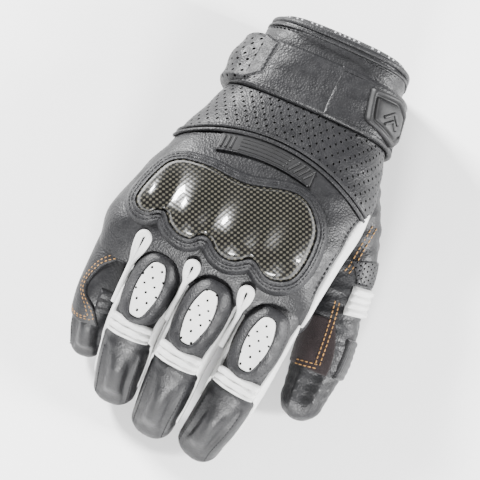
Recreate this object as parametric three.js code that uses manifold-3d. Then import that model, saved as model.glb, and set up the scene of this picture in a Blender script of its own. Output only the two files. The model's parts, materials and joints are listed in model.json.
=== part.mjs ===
// A short-cuff leather riding glove for the right hand, standing palm down on its fingertips and heel.
// Units are millimetres, +Z is up, the fingers point to -Y, the cuff opens to +Y and the thumb is at +X.
// Every finger has a hinge at the knuckle and one at its middle joint; the thumb swings and bends, and
// the flap of the wrist strap peels up.
import * as THREE from 'three';
import { mergeVertices } from 'three/addons/utils/BufferGeometryUtils.js';
import Module from 'manifold-3d';

const wasm = await Module();
wasm.setup();

// ---------------------------------------------------------------- driving dimensions
const LEATHER = 1.8;          // wall of the hand, fingers and thumb
const GAP = 0.35;             // clearance between stitched pieces
const SIDES = 16;             // facets around a digit
const KNUCKLE_Y = -12;        // line of the knuckle hinges
const HOOD_FRONT_Y = -18;     // front edge of the back of the hand, over the knuckles
const PALM_FRONT_Y = -3;      // front edge of the palm
const WRIST_Y = 66;           // seam between hand and cuff
const RIM_Y = 106;            // mouth of the cuff
const ELBOW = 1.3;            // radius of a hinge's drum, as a multiple of the finger's half height
const HAND_SIDES = 24;        // facets around the hand and the cuff
const RUN = 0.5;              // running gap between a drum and its housing
const RAISE = 10;             // how far a finger rises above its rest pose, in degrees
const CURL = 40;              // how far a finger bends down at the knuckle, in degrees

const BLACK = { color: 0x17171a, roughness: 0.55, metalness: 0 };
const WHITE = { color: 0xe4e5e8, roughness: 0.5, metalness: 0 };
const CARBON = { color: 0x202022, roughness: 0.12, metalness: 0.1 };
const RUBBER = { color: 0x0e0e10, roughness: 0.7, metalness: 0 };
const FOAM = { color: 0x3a3a3e, roughness: 0.95, metalness: 0 };
const KNIT = { color: 0x101013, roughness: 0.9, metalness: 0 };

// ---------------------------------------------------------------- solids and cuts
function toSolid(geometry) {
  const bare = geometry.clone();
  bare.deleteAttribute('normal');
  bare.deleteAttribute('uv');
  const merged = mergeVertices(bare, 1e-4);
  const triVerts = merged.index ? Uint32Array.from(merged.index.array) : null;
  const vertProperties = Float32Array.from(merged.attributes.position.array);
  return new wasm.Manifold(new wasm.Mesh({ numProp: 3, vertProperties, triVerts }));
}

function toGeometry(solid) {
  const mesh = solid.getMesh();
  const geometry = new THREE.BufferGeometry();
  geometry.setAttribute('position', new THREE.BufferAttribute(Float32Array.from(mesh.vertProperties), 3));
  geometry.setIndex(new THREE.BufferAttribute(Uint32Array.from(mesh.triVerts), 1));
  geometry.computeVertexNormals();
  return geometry;
}

// Keeps the largest piece of a cut, so that slivers never travel with a node.
function largest(solid) {
  const pieces = solid.decompose();
  pieces.sort((a, b) => b.volume() - a.volume());
  return pieces[0];
}

// Skins a list of rings, each a list of points in order, and closes both ends with a fan.
function skin(rings) {
  const points = rings.flat();
  const sides = rings[0].length;
  const index = [];
  for (let ring = 0; ring < rings.length - 1; ring += 1) {
    for (let side = 0; side < sides; side += 1) {
      const a = ring * sides + side;
      const b = ring * sides + ((side + 1) % sides);
      index.push(a, b, a + sides, b, b + sides, a + sides);
    }
  }
  for (const [first, turn] of [[0, false], [(rings.length - 1) * sides, true]]) {
    const ring = rings[first === 0 ? 0 : rings.length - 1];
    const hub = ring.reduce((sum, p) => sum.add(p), new THREE.Vector3()).divideScalar(sides);
    points.push(hub);
    for (let side = 0; side < sides; side += 1) {
      const a = first + side;
      const b = first + ((side + 1) % sides);
      index.push(points.length - 1, turn ? a : b, turn ? b : a);
    }
  }
  const geometry = new THREE.BufferGeometry().setFromPoints(points);
  geometry.setIndex(index);
  let solid = toSolid(geometry);
  if (solid.volume() <= 0) {
    geometry.setIndex(index.map((_, i) => index[i - (i % 3) + [0, 2, 1][i % 3]]));
    solid = toSolid(geometry);
  }
  return solid;
}

// A ring of a superellipse: `half` is [half width, half height above, half height below].
function ringPoints(at, right, up, half, power, grow, sides) {
  const ring = [];
  for (let side = 0; side < sides; side += 1) {
    const angle = (2 * Math.PI * (side + 0.5)) / sides;
    const c = Math.cos(angle);
    const s = Math.sin(angle);
    const across = Math.sign(c) * Math.abs(c) ** (2 / power) * Math.max(half[0] + grow, 0.2);
    const height = Math.max((s > 0 ? half[1] : half[2]) + grow, 0.2);
    const over = Math.sign(s) * Math.abs(s) ** (2 / power) * height;
    ring.push(at.clone().addScaledVector(right, across).addScaledVector(up, over));
  }
  return ring;
}

function box(low, high) {
  const size = new THREE.Vector3(...high).sub(new THREE.Vector3(...low));
  const geometry = new THREE.BoxGeometry(size.x, size.y, size.z);
  geometry.translate(low[0] + size.x / 2, low[1] + size.y / 2, low[2] + size.z / 2);
  return toSolid(geometry);
}

// An upright prism over a closed plan outline of [x, y] points, between two heights.
function prism(outline, low, high) {
  const shape = new THREE.Shape(outline.map(([x, y]) => new THREE.Vector2(x, y)));
  const geometry = new THREE.ExtrudeGeometry(shape, { depth: high - low, bevelEnabled: false });
  geometry.translate(0, 0, low);
  return toSolid(geometry);
}

function smooth(points, count, closed = false) {
  const curve = new THREE.SplineCurve(points.map(([x, y]) => new THREE.Vector2(x, y)));
  if (!closed) return curve.getPoints(count).map((p) => [p.x, p.y]);
  const loop = new THREE.CatmullRomCurve3(points.map(([x, y]) => new THREE.Vector3(x, y, 0)), true);
  return loop.getPoints(count).slice(0, -1).map((p) => [p.x, p.y]);
}

// A cylinder lying along the world axis 'x' or 'z', centred on a hinge.
function drum(centre, radius, axis, length) {
  const geometry = new THREE.CylinderGeometry(radius, radius, length, 28);
  if (axis === 'x') geometry.rotateZ(Math.PI / 2);
  if (axis === 'z') geometry.rotateX(Math.PI / 2);
  geometry.translate(...centre);
  return toSolid(geometry);
}

// ---------------------------------------------------------------- the hand and the cuff
// Sections across the hand: y, left and right edges, height of the widest line, top and bottom.
const HAND = [
  { y: WRIST_Y, left: -36, right: 45.5, middle: 31, top: 55, bottom: 4 },
  { y: 45, left: -44, right: 50.5, middle: 35, top: 59, bottom: 6 },
  { y: 25, left: -51.5, right: 51, middle: 39, top: 63, bottom: 11 },
  { y: 8, left: -57, right: 49, middle: 42, top: 66.5, bottom: 20 },
  { y: -6, left: -61.5, right: 47.5, middle: 42.5, top: 67.5, bottom: 26 },
  { y: HOOD_FRONT_Y, left: -62.5, right: 46.5, middle: 42, top: 66.5, bottom: 28 },
];
const CUFF = [
  { y: RIM_Y, left: -28.5, right: 41.5, middle: 29.5, top: 56, bottom: 2.5 },
  { y: 98, left: -31, right: 42.5, middle: 29.5, top: 55, bottom: 2.5 },
  { y: 82, left: -34, right: 43.5, middle: 30, top: 54, bottom: 3 },
  { y: WRIST_Y + GAP, left: -36, right: 45.5, middle: 31, top: 55, bottom: 4 },
];
const HAND_POWER = 2.9;

function crossSections(sections, grow, endGrow = 0, sides = HAND_SIDES) {
  const rings = sections.map((s, i) => {
    const stretch = i === 0 ? endGrow : i === sections.length - 1 ? -endGrow : 0;
    const at = new THREE.Vector3((s.left + s.right) / 2, s.y + stretch, s.middle);
    const half = [(s.right - s.left) / 2, s.top - s.middle, s.middle - s.bottom];
    const right = new THREE.Vector3(1, 0, 0);
    return ringPoints(at, right, new THREE.Vector3(0, 0, 1), half, HAND_POWER, grow, sides);
  });
  return skin(rings);
}
const hand = (grow, endGrow = 0) => crossSections(HAND, grow, endGrow);
const cuff = (grow, endGrow = 0) => crossSections(CUFF, grow, endGrow);
const between = (outer, inner) => outer.subtract(inner);

// ---------------------------------------------------------------- digits
// A digit is a curved tube. `line` holds its centre line from behind the first hinge to the tip, with
// the half width and half height at each point; the last point is where the round end starts.
function digitRings(line, grow, startGrow = 0) {
  const curve = new THREE.CatmullRomCurve3(line.map((p) => new THREE.Vector3(...p.at)), false, 'centripetal');
  const spans = line.length - 1;
  const steps = spans * 2;
  const rings = [];
  const frameAt = (t) => {
    const tangent = curve.getTangent(t);
    const right = new THREE.Vector3(0, 0, 1).cross(tangent).normalize();
    if (right.dot(new THREE.Vector3(1, 0, 0)) < 0) right.negate();
    const up = tangent.clone().cross(right).normalize();
    if (up.z < 0) up.negate();
    return { tangent, right, up };
  };
  const sizeAt = (t) => {
    const place = Math.min(t * spans, spans - 1e-6);
    const a = line[Math.floor(place)];
    const b = line[Math.floor(place) + 1];
    const f = place - Math.floor(place);
    return [a.wide + (b.wide - a.wide) * f, a.high + (b.high - a.high) * f];
  };
  for (let step = 0; step <= steps; step += 1) {
    const t = step / steps;
    const { tangent, right, up } = frameAt(t);
    const [wide, high] = sizeAt(t);
    const at = curve.getPoint(t);
    if (step === 0) at.addScaledVector(tangent, -startGrow);
    rings.push(ringPoints(at, right, up, [wide, high, high], 2.4, grow, SIDES));
  }
  const { tangent, right, up } = frameAt(1);
  const [wide, high] = sizeAt(1);
  const end = curve.getPoint(1);
  for (const angle of [35, 70]) {
    const reach = Math.sin(THREE.MathUtils.degToRad(angle)) * (high + grow);
    const shrink = Math.cos(THREE.MathUtils.degToRad(angle));
    const at = end.clone().addScaledVector(tangent, reach);
    const half = [(wide + grow) * shrink, (high + grow) * shrink, (high + grow) * shrink];
    rings.push(ringPoints(at, right, up, half, 2.4, 0, SIDES));
  }
  return rings;
}
const digit = (line, grow, startGrow = 0) => skin(digitRings(line, grow, startGrow));

// Splits a digit at a hinge. The far part keeps the drum round the hinge; the near part is cut back
// from it, so the two turn freely. `ahead` is a solid on the far side of the hinge.
function splitAt(solid, centre, radius, axis, ahead) {
  const far = solid.intersect(drum(centre, radius, axis, 90).add(ahead));
  const near = solid.subtract(drum(centre, radius + RUN, axis, 90)).subtract(ahead);
  return { near: largest(near), far: largest(far) };
}

const FINGERS = {
  index: { x: [31, 27, 20.5], y: -62, z: [46, 40.5], wide: 12.8, high: 11.8 },
  middle: { x: [1.5, -2.5, -4.5], y: -61.5, z: [49.5, 42.5], wide: 12.6, high: 12 },
  ring: { x: [-27, -29, -28], y: -58, z: [47.5, 40.5], wide: 12.4, high: 11.8 },
  pinky: { x: [-50.2, -51.4, -49.4], y: -50, z: [41, 32.5], wide: 9.7, high: 10 },
};
const TIP_REACH = { index: 30, middle: 29.5, ring: 26, pinky: 20 };
const TIP_Z = 11;
const TIP_TAPER = 0.84;
const DIP_SHARE = { reach: 0.62, drop: 0.46 };   // place of the end joint between middle joint and tip

function fingerLine(name) {
  const f = FINGERS[name];
  const slope = (f.z[0] - f.z[1]) / (KNUCKLE_Y - f.y);
  const tipY = f.y - TIP_REACH[name];
  const dip = {
    at: [
      (f.x[1] + f.x[2]) / 2,
      f.y - TIP_REACH[name] * DIP_SHARE.reach,
      f.z[1] - (f.z[1] - TIP_Z) * DIP_SHARE.drop,
    ],
    wide: f.wide * 0.92,
    high: f.high * 0.92,
  };
  return [
    { at: [f.x[0], KNUCKLE_Y + 14, f.z[0] + slope * 14], wide: f.wide, high: f.high },
    { at: [f.x[0], KNUCKLE_Y, f.z[0]], wide: f.wide, high: f.high },
    { at: [(f.x[0] + f.x[1]) / 2, (KNUCKLE_Y + f.y) / 2, (f.z[0] + f.z[1]) / 2 + 0.8], wide: f.wide, high: f.high },
    { at: [f.x[1], f.y, f.z[1]], wide: f.wide * 0.97, high: f.high * 0.97 },
    dip,
    { at: [f.x[2], tipY, TIP_Z], wide: f.wide * TIP_TAPER, high: f.high * TIP_TAPER },
  ];
}

const THUMB = [
  { at: [36, 48, 26.5], wide: 15, high: 14.5 },
  { at: [41, 37, 26], wide: 15.5, high: 15 },
  { at: [47, 23, 24.5], wide: 15, high: 14.5 },
  { at: [51.5, 10, 22.5], wide: 14.3, high: 13.8 },
  { at: [53.5, -4, 20], wide: 13, high: 13 },
  { at: [55.5, -18, 17.5], wide: 13.6, high: 12.6 },
  { at: [57, -34, 15.2], wide: 13.6, high: 12.2 },
  { at: [57, -54, 12], wide: 10.6, high: 10.8 },
];
const THUMB_ROOT = [43, 36, 26];
const THUMB_BEND = [53.5, -4, 20];
const THUMB_ROOT_DRUM = 20;
const THUMB_BEND_DRUM = 17;

// ---------------------------------------------------------------- the group
const glove = new THREE.Group();
glove.name = 'riding_glove';
const bodies = {};
const hinges = [];

function addPiece(body, name, solid, look) {
  const mesh = new THREE.Mesh(toGeometry(solid), new THREE.MeshStandardMaterial(look));
  mesh.name = name;
  glove.add(mesh);
  bodies[body] = [...(bodies[body] ?? []), name];
}

// ---- fingers
const WINDOW = { long: 22, wide: 10.5 };      // the white insert of a finger pad
const PAD = { start: 11, wide: 20.5, tall: 4.6 };
const GUSSET_HIGH = 5.5;

// An elongated outline with pointed, rounded ends, along -Y from the origin.
function lozenge(long, wide, grow = 0) {
  const l = long + 2 * grow;
  const w = wide / 2 + grow;
  const points = [[0, 0], [w * 0.72, 0.07 * l], [w, 0.3 * l], [w, 0.72 * l], [w * 0.72, 0.93 * l], [0, l]];
  const mirrored = points.slice(1, -1).reverse().map(([x, y]) => [-x, y]);
  return smooth([...points, ...mirrored], 16, true).map(([x, y]) => [x, grow - y]);
}

function finger(name) {
  const f = FINGERS[name];
  const line = fingerLine(name);
  const knuckle = [f.x[0], KNUCKLE_Y, f.z[0]];
  const joint = [f.x[1], f.y, f.z[1]];
  const bendRadius = f.high * 0.97 * ELBOW;
  const outer = digit(line, 0);
  const inner = digit(line, -LEATHER, 5);
  const tube = between(outer, inner);

  // the root is open towards the hand and rounded about the knuckle hinge
  const front = box([f.x[0] - 40, -200, -60], [f.x[0] + 40, KNUCKLE_Y, 120]);
  const rooted = tube.intersect(front.add(drum(knuckle, f.high, 'x', 90)));

  // the plane through the middle hinge, halfway between the two segments
  const lean = THREE.MathUtils.degToRad(25);
  const ahead = new THREE.BoxGeometry(90, 120, 160);
  ahead.translate(0, -60, 0);
  ahead.rotateX(lean);
  ahead.translate(...joint);
  const { near, far } = splitAt(rooted, joint, bendRadius, 'x', toSolid(ahead));

  const drumCut = drum(joint, bendRadius + RUN, 'x', 90);
  const body = `${name}_proximal`;
  const behind = KNUCKLE_Y - PAD.start;
  const isPinky = name === 'pinky';

  // the gussets are strips let into the sides of the tube
  const frontY = f.y + bendRadius + 3;
  let shell = near;
  const sidesWithGusset = isPinky ? [['inner', 1]] : [['outer', 1], ['inner', -1]];
  for (const [label, sign] of sidesWithGusset) {
    const x0 = (f.x[0] + f.x[1]) / 2;
    const midZ = (y) => f.z[0] + ((y - KNUCKLE_Y) / (f.y - KNUCKLE_Y)) * (f.z[1] - f.z[0]);
    const strip = (grow) => {
      const rear = KNUCKLE_Y - 10 + grow;
      const fore = frontY - grow;
      const geometry = new THREE.BoxGeometry(20, rear - fore, 2 * (GUSSET_HIGH + grow));
      geometry.rotateX(Math.atan2(f.z[0] - f.z[1], KNUCKLE_Y - f.y));
      geometry.translate(x0 + sign * (f.wide * 0.55 + 10), (rear + fore) / 2, midZ((rear + fore) / 2));
      return toSolid(geometry);
    };
    addPiece(body, `${name}_gusset_${label}`, largest(near.intersect(strip(0))), WHITE);
    shell = shell.subtract(strip(GAP));
  }

  if (isPinky) {
    const patch = smooth([[-10, -22], [-4, -27], [-9, -34], [-10, -44], [-20, -44], [-20, -22]]
      .map(([x, y]) => [f.x[0] + x * 0.62, y]), 16, true);
    const slab = prism(patch, 15, 80).intersect(between(digit(line, 1.9), digit(line, GAP)));
    addPiece(body, 'pinky_slider', largest(slab.subtract(drumCut)), RUBBER);
  } else {
    const long = behind - (f.y + bendRadius * 0.68);
    const padX = (f.x[0] + f.x[1]) / 2;
    const place = (outline) => outline.map(([x, y]) => [x + padX, y + behind]);
    const border = (grow) => place(lozenge(long, PAD.wide, grow));
    const gapStart = (long - WINDOW.long) / 2;
    const windowAt = (grow) => place(lozenge(WINDOW.long, WINDOW.wide, grow).map(([x, y]) => [x, y - gapStart]));
    const top = (outline) => prism(outline, f.z[1], 90);
    const foam = top(border(-2.2)).intersect(between(digit(line, 2), digit(line, GAP)));
    const panelRaw = top(border(0)).intersect(between(digit(line, PAD.tall), digit(line, GAP)));
    const foamRoom = top(border(-2.2 + GAP)).intersect(digit(line, 2 + GAP));
    const panel = panelRaw.subtract(foamRoom).subtract(top(windowAt(0)));
    const insert = top(windowAt(-GAP)).intersect(between(digit(line, PAD.tall + 0.3), digit(line, 2 + GAP)));
    addPiece(body, `${name}_pad_foam`, largest(foam.subtract(drumCut)), FOAM);
    addPiece(body, `${name}_pad_panel`, largest(panel.subtract(drumCut)), BLACK);
    addPiece(body, `${name}_pad_insert`, largest(insert.subtract(drumCut)), WHITE);
    const ribbed = accordion(joint, f.high * 0.97, f.wide * 0.8).subtract(digit(line, GAP));
    addPiece(body, `${name}_accordion`, largest(ribbed), WHITE);
  }
  addPiece(body, `${name}_shell`, largest(shell), BLACK);
  addPiece(`${name}_tip`, `${name}_tip_shell`, far, BLACK);
  hinges.push({ name: `${name}_knuckle`, parent: 'hand', child: body, at: knuckle, axis: [1, 0, 0] });
  hinges.push({ name: `${name}_bend`, parent: body, child: `${name}_tip`, at: joint, axis: [1, 0, 0] });
}

// A ribbed stretch panel over a finger's middle joint: a band swept about the hinge axis.
function accordion(joint, radius, halfWidth) {
  const ribs = 3;
  const from = 62;
  const to = 128;
  const steps = ribs * 3;
  const rings = [];
  for (let step = 0; step <= steps; step += 1) {
    const angle = THREE.MathUtils.degToRad(from + ((to - from) * step) / steps);
    const rib = 0.9 * Math.sin((Math.PI * ribs * step) / steps) ** 2;
    const out = new THREE.Vector3(0, -Math.cos(angle), Math.sin(angle));
    const ring = [];
    for (const [side, lift] of [[-1, 0], [-0.6, 1], [0, 1.25], [0.6, 1], [1, 0]]) {
      const r = radius * (0.72 + 0.28 * Math.sqrt(1 - (0.86 * side) ** 2)) + 1.6 + (0.9 + rib) * lift;
      ring.push(out.clone().multiplyScalar(r).add(new THREE.Vector3(side * halfWidth, 0, 0)));
    }
    for (const side of [1, 0.6, 0, -0.6, -1]) {
      const r = radius * (0.72 + 0.28 * Math.sqrt(1 - (0.86 * side) ** 2)) + 0.9;
      ring.push(out.clone().multiplyScalar(r).add(new THREE.Vector3(side * halfWidth, 0, 0)));
    }
    rings.push(ring.map((p) => p.add(new THREE.Vector3(...joint))));
  }
  return skin(rings);
}

for (const name of Object.keys(FINGERS)) finger(name);

// ---- thumb
const thumbOuter = digit(THUMB, 0);
const thumbTube = between(thumbOuter, digit(THUMB, -LEATHER, 5));
const thumbRootFront = box([THUMB_ROOT[0] - 60, -120, -40], [THUMB_ROOT[0] + 60, THUMB_ROOT[1] - 2, 90]);
const thumbRooted = thumbTube.intersect(thumbRootFront.add(drum(THUMB_ROOT, THUMB_ROOT_DRUM, 'z', 60)));
const thumbAhead = box([THUMB_BEND[0] - 60, -200, -40], [THUMB_BEND[0] + 60, THUMB_BEND[1], 90]);
const thumb = splitAt(thumbRooted, THUMB_BEND, THUMB_BEND_DRUM, 'z', thumbAhead);
const thumbBendCut = drum(THUMB_BEND, THUMB_BEND_DRUM + RUN, 'z', 60);

function thumbOverlay(outline, thickness) {
  return prism(outline, 14, 60).intersect(between(digit(THUMB, thickness), digit(THUMB, GAP)));
}
addPiece('thumb_base', 'thumb_base_shell', thumb.near, BLACK);
const vent = smooth([[48, 17.5], [57, 18.5], [64, 15.5], [61, 13.6], [50, 13.6]], 12, true);
addPiece('thumb_base', 'thumb_vent_panel', largest(thumbOverlay(vent, 1.3).subtract(thumbBendCut)), BLACK);
const patch = smooth([[47, -18], [55, -21], [58.5, -36], [49, -40], [45.5, -30]], 12, true);
addPiece('thumb_tip', 'thumb_tip_shell', thumb.far, BLACK);
addPiece('thumb_tip', 'thumb_patch', largest(thumbOverlay(patch, 1.4)), BLACK);
const stretch = smooth([[61.5, -21], [70, -23], [70.5, -36], [63, -41], [60.8, -32]], 12, true);
addPiece('thumb_tip', 'thumb_stretch_panel', largest(thumbOverlay(stretch, 1.3)), KNIT);

// Ribs on the outer side of the thumb's bend, swept about its upright hinge.
function thumbAccordion() {
  const ribs = 4;
  const steps = ribs * 4;
  const rings = [];
  for (let step = 0; step <= steps; step += 1) {
    const angle = THREE.MathUtils.degToRad(26 - (62 * step) / steps);
    const rib = 1.1 * Math.sin((Math.PI * ribs * step) / steps) ** 2;
    const out = new THREE.Vector3(Math.cos(angle), Math.sin(angle), 0);
    const ring = [];
    for (const lift of [0.7 + rib, 0]) {
      const heights = [-0.3, 0.1, 0.5, 0.85];
      for (const h of lift ? heights : [...heights].reverse()) {
        const r = THUMB_BEND_DRUM * 0.95 * Math.cos(Math.max(h, 0) * 0.95) + 0.2 + lift;
        ring.push(out.clone().multiplyScalar(r).add(new THREE.Vector3(0, 0, h * 15)));
      }
    }
    rings.push(ring.map((p) => p.add(new THREE.Vector3(...THUMB_BEND))));
  }
  return skin(rings);
}
const thumbRibs = thumbAccordion().subtract(digit(THUMB, GAP));
addPiece('thumb_base', 'thumb_accordion', largest(thumbRibs), WHITE);

// ---- back and palm of the hand
// Room for the first segment of each finger, at rest and raised, and for its rounded end as it curls.
function fingerRoom() {
  const rooms = Object.keys(FINGERS).flatMap((name) => {
    const { x, z, high } = FINGERS[name];
    const at = [x[0], KNUCKLE_Y, z[0]];
    const rooted = box([-200, -60, 0], [200, KNUCKLE_Y, 120]).add(drum(at, high + RUN, 'x', 90));
    const root = digit(fingerLine(name).slice(0, 4), RUN).intersect(rooted);
    const end = root.intersect(drum(at, high + RUN, 'x', 90));
    const turned = (solid, angle) => solid.translate(at.map((v) => -v)).rotate([angle, 0, 0]).translate(at);
    return [root, turned(root, -RAISE), ...[0.33, 0.67, 1].map((part) => turned(end, part * CURL))];
  });
  return rooms.reduce((sum, room) => sum.add(room));
}
const THUMB_ROOM = 2;         // clearance of the thumb in the side of the hand
const thumbRoom = drum(THUMB_ROOT, THUMB_ROOT_DRUM + RUN, 'z', 36)
  .add(drum(THUMB_BEND, THUMB_BEND_DRUM + THUMB_ROOM, 'z', 34))
  .add(digit(THUMB, THUMB_ROOM, 2));
const handShell = between(hand(0), hand(-LEATHER, 4));
const overMiddle = skin(HAND.map((s) => [
  new THREE.Vector3(-90, s.y, s.middle + GAP / 2),
  new THREE.Vector3(90, s.y, s.middle + GAP / 2),
  new THREE.Vector3(90, s.y, 120),
  new THREE.Vector3(-90, s.y, 120),
]));
const underMiddle = skin(HAND.map((s) => [
  new THREE.Vector3(-90, s.y, -40),
  new THREE.Vector3(90, s.y, -40),
  new THREE.Vector3(90, s.y, s.middle - GAP / 2),
  new THREE.Vector3(-90, s.y, s.middle - GAP / 2),
]));
const palmLimit = box([-100, PALM_FRONT_Y, -50], [100, WRIST_Y, 120]);
const backWall = handShell.intersect(overMiddle).subtract(thumbRoom).subtract(fingerRoom());
addPiece('hand', 'back_panel', largest(backWall), BLACK);
const palmWall = handShell.intersect(underMiddle).intersect(palmLimit).subtract(thumbRoom).subtract(fingerRoom());
addPiece('hand', 'palm_panel', largest(palmWall), BLACK);

// ---- the heel pad has a flat sole that the glove rests on
const HEEL = smooth([[-31, 56], [-8, 60], [20, 56], [22, 34], [-2, 24], [-28, 32]], 18, true);
addPiece('hand', 'heel_pad', largest(prism(HEEL, 0, 40).subtract(hand(GAP))), BLACK);

// ---- knuckle guard, foam and trim
const GUARD = [
  [-47, 10], [-40, 20], [-28, 24], [-8, 24.5], [12, 27.5], [24, 25.5], [32, 17], [34.5, 4],
  [31.5, -8], [25, -14], [15, -12.5], [9.5, -9.5], [4, -14.5], [-4, -14.5], [-12.5, -9.5],
  [-19, -13.2], [-28, -12.2], [-36, -6.5], [-43, -9.5], [-48.5, -3],
];
const GUARD_THICK = 2.2;
const FOAM_THICK = 2.4;
const KNUCKLE_BUMPS = [[27, 3, 10], [2, 3, 10.5], [-22, 4, 10], [-40, 2, 7.5]];

function offsetOutline(points, distance) {
  return points.map(([x, y], i) => {
    const [px, py] = points[(i + points.length - 1) % points.length];
    const [nx, ny] = points[(i + 1) % points.length];
    const length = Math.hypot(nx - px, ny - py);
    return [x - ((ny - py) / length) * distance, y + ((nx - px) / length) * distance];
  });
}
const guardOutline = smooth(GUARD, 40, true);
const guardPrism = (grow) => prism(offsetOutline(guardOutline, grow), 40, 100);
function bumps(grow) {
  return KNUCKLE_BUMPS.map(([x, y, r]) => {
    const ball = new THREE.SphereGeometry(1, 12, 7);
    ball.scale(r + grow, r * 1.25 + grow, 5.2 + grow);
    ball.translate(x, y, 0);
    const top = surfaceTop(x);
    ball.translate(0, 0, top + 2.2);
    return toSolid(ball);
  });
}
// Height of the back of the hand over the knuckles at a given x.
function surfaceTop(x) {
  const s = HAND[3];
  const across = Math.abs(x - (s.left + s.right) / 2) / ((s.right - s.left) / 2);
  return s.middle + (s.top - s.middle) * (1 - across ** HAND_POWER) ** (1 / HAND_POWER);
}
const guardOuter = bumps(0).reduce((sum, ball) => sum.add(ball), hand(GAP + FOAM_THICK + GAP + GUARD_THICK, 1));
const guardInner = bumps(-GUARD_THICK).reduce((sum, ball) => sum.add(ball), hand(GAP + FOAM_THICK + GAP, 2));
const guard = guardPrism(0).intersect(guardOuter).subtract(guardInner);
addPiece('hand', 'knuckle_guard', largest(guard), CARBON);
const foamPlate = guardPrism(-2.5).intersect(hand(GAP + FOAM_THICK, 1)).subtract(hand(GAP, 2));
addPiece('hand', 'knuckle_foam', largest(foamPlate), FOAM);
const trimBand = guardPrism(4.2).subtract(guardPrism(GAP)).intersect(box([-70, HOOD_FRONT_Y, 0], [70, 60, 120]));
const trim = trimBand.intersect(hand(3.6, 1)).subtract(hand(GAP, 2));
addPiece('hand', 'guard_trim', largest(trim), BLACK);

// ---- wrist band, ridge, crest and side stripe on the back of the hand
const ridgeY = (x) => 47 - 0.0058 * (x + 2) ** 2;
const strapLowY = (x) => 70 - 0.0042 * (x - 2) ** 2;
const SPAN_X = [-46, -34, -22, -10, 2, 14, 26, 38, 49];
const HIGH_SIDE = box([-80, 20, 40], [80, WRIST_Y, 100]);

function bandPlan(lowY, highY, xs = SPAN_X) {
  const lower = xs.map((x) => [x, lowY(x)]);
  const upper = [...xs].reverse().map((x) => [x, highY(x)]);
  return [...lower, ...upper];
}
const upperSkin = (thick) => hand(GAP + thick, 1).subtract(hand(GAP, 2)).intersect(HIGH_SIDE);
const bandShape = prism(bandPlan((x) => ridgeY(x) + 1.9, (x) => Math.min(strapLowY(x) - 4, WRIST_Y - 1)), 0, 100);
addPiece('hand', 'wrist_band', largest(upperSkin(1.2).intersect(bandShape)), BLACK);
const ridgeShape = prism(bandPlan((x) => ridgeY(x) - 1.5, (x) => ridgeY(x) + 1.5), 0, 100);
addPiece('hand', 'ridge_piping', largest(upperSkin(2.6).intersect(ridgeShape)), BLACK);
const crestShape = prism(bandPlan((x) => ridgeY(x) - 10, (x) => ridgeY(x) - 2, [-26, -14, -2, 10, 20]), 0, 100);
addPiece('hand', 'crest_patch', largest(upperSkin(1.1).intersect(crestShape)), RUBBER);
const stripeBox = box([41, HOOD_FRONT_Y + 4, 45], [60, 28, 54]);
const stripeSkin = hand(GAP + 0.9, 1).subtract(hand(GAP, 2));
addPiece('hand', 'side_stripe', largest(stripeSkin.intersect(stripeBox)), WHITE);

// ---- cuff, binding and wrist strap
const RIM = { deep: 5, thick: 1.1 };
const STRAP = { low: 67.5, high: 89, thick: 2.2 };
const FLAP_X = 12;
addPiece('hand', 'cuff_shell', between(cuff(0), cuff(-LEATHER, 4)), BLACK);
const rimBox = box([-80, RIM_Y - RIM.deep, -20], [90, RIM_Y - 0.2, 90]);
addPiece('hand', 'cuff_binding', cuff(GAP + RIM.thick, 1).subtract(cuff(GAP, 2)).intersect(rimBox), BLACK);

const strapSkin = (lift, thick) => cuff(lift + thick, 1).subtract(cuff(lift, 2));
const strapBox = (x0, x1, z0, z1) => box([x0, STRAP.low, z0], [x1, STRAP.high, z1]);
const LOOP_THICK = 0.9;
const STRAP_LIFT = GAP + LOOP_THICK + GAP + LOOP_THICK + GAP;
const loopArea = box([FLAP_X - 8, STRAP.low + 2, 22], [80, STRAP.high - 2, 80]);
addPiece('hand', 'loop_patch', largest(strapSkin(GAP, LOOP_THICK).intersect(loopArea)), KNIT);
const fixedStrap = strapSkin(STRAP_LIFT, STRAP.thick).intersect(strapBox(-60, FLAP_X - GAP, 20, 90));
const strapSeat = strapSkin(GAP, STRAP_LIFT).intersect(strapBox(-60, -10, 20, 90));
addPiece('hand', 'strap_band', largest(fixedStrap.add(strapSeat)), BLACK);
const keeper = strapSkin(STRAP_LIFT + STRAP.thick + GAP, 1.4)
  .intersect(box([-60, STRAP.low + 1, 34], [-22, STRAP.high - 1, 90]));
addPiece('hand', 'strap_keeper', largest(keeper), BLACK);

const flap = strapSkin(STRAP_LIFT, STRAP.thick).intersect(strapBox(FLAP_X, 90, 30, 90));
addPiece('strap_flap', 'strap_flap_panel', largest(flap), BLACK);
const hookSkin = strapSkin(GAP + LOOP_THICK + GAP, LOOP_THICK);
addPiece('strap_flap', 'hook_patch', largest(hookSkin.intersect(strapBox(FLAP_X + 4, 90, 32, 90))), KNIT);

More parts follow.
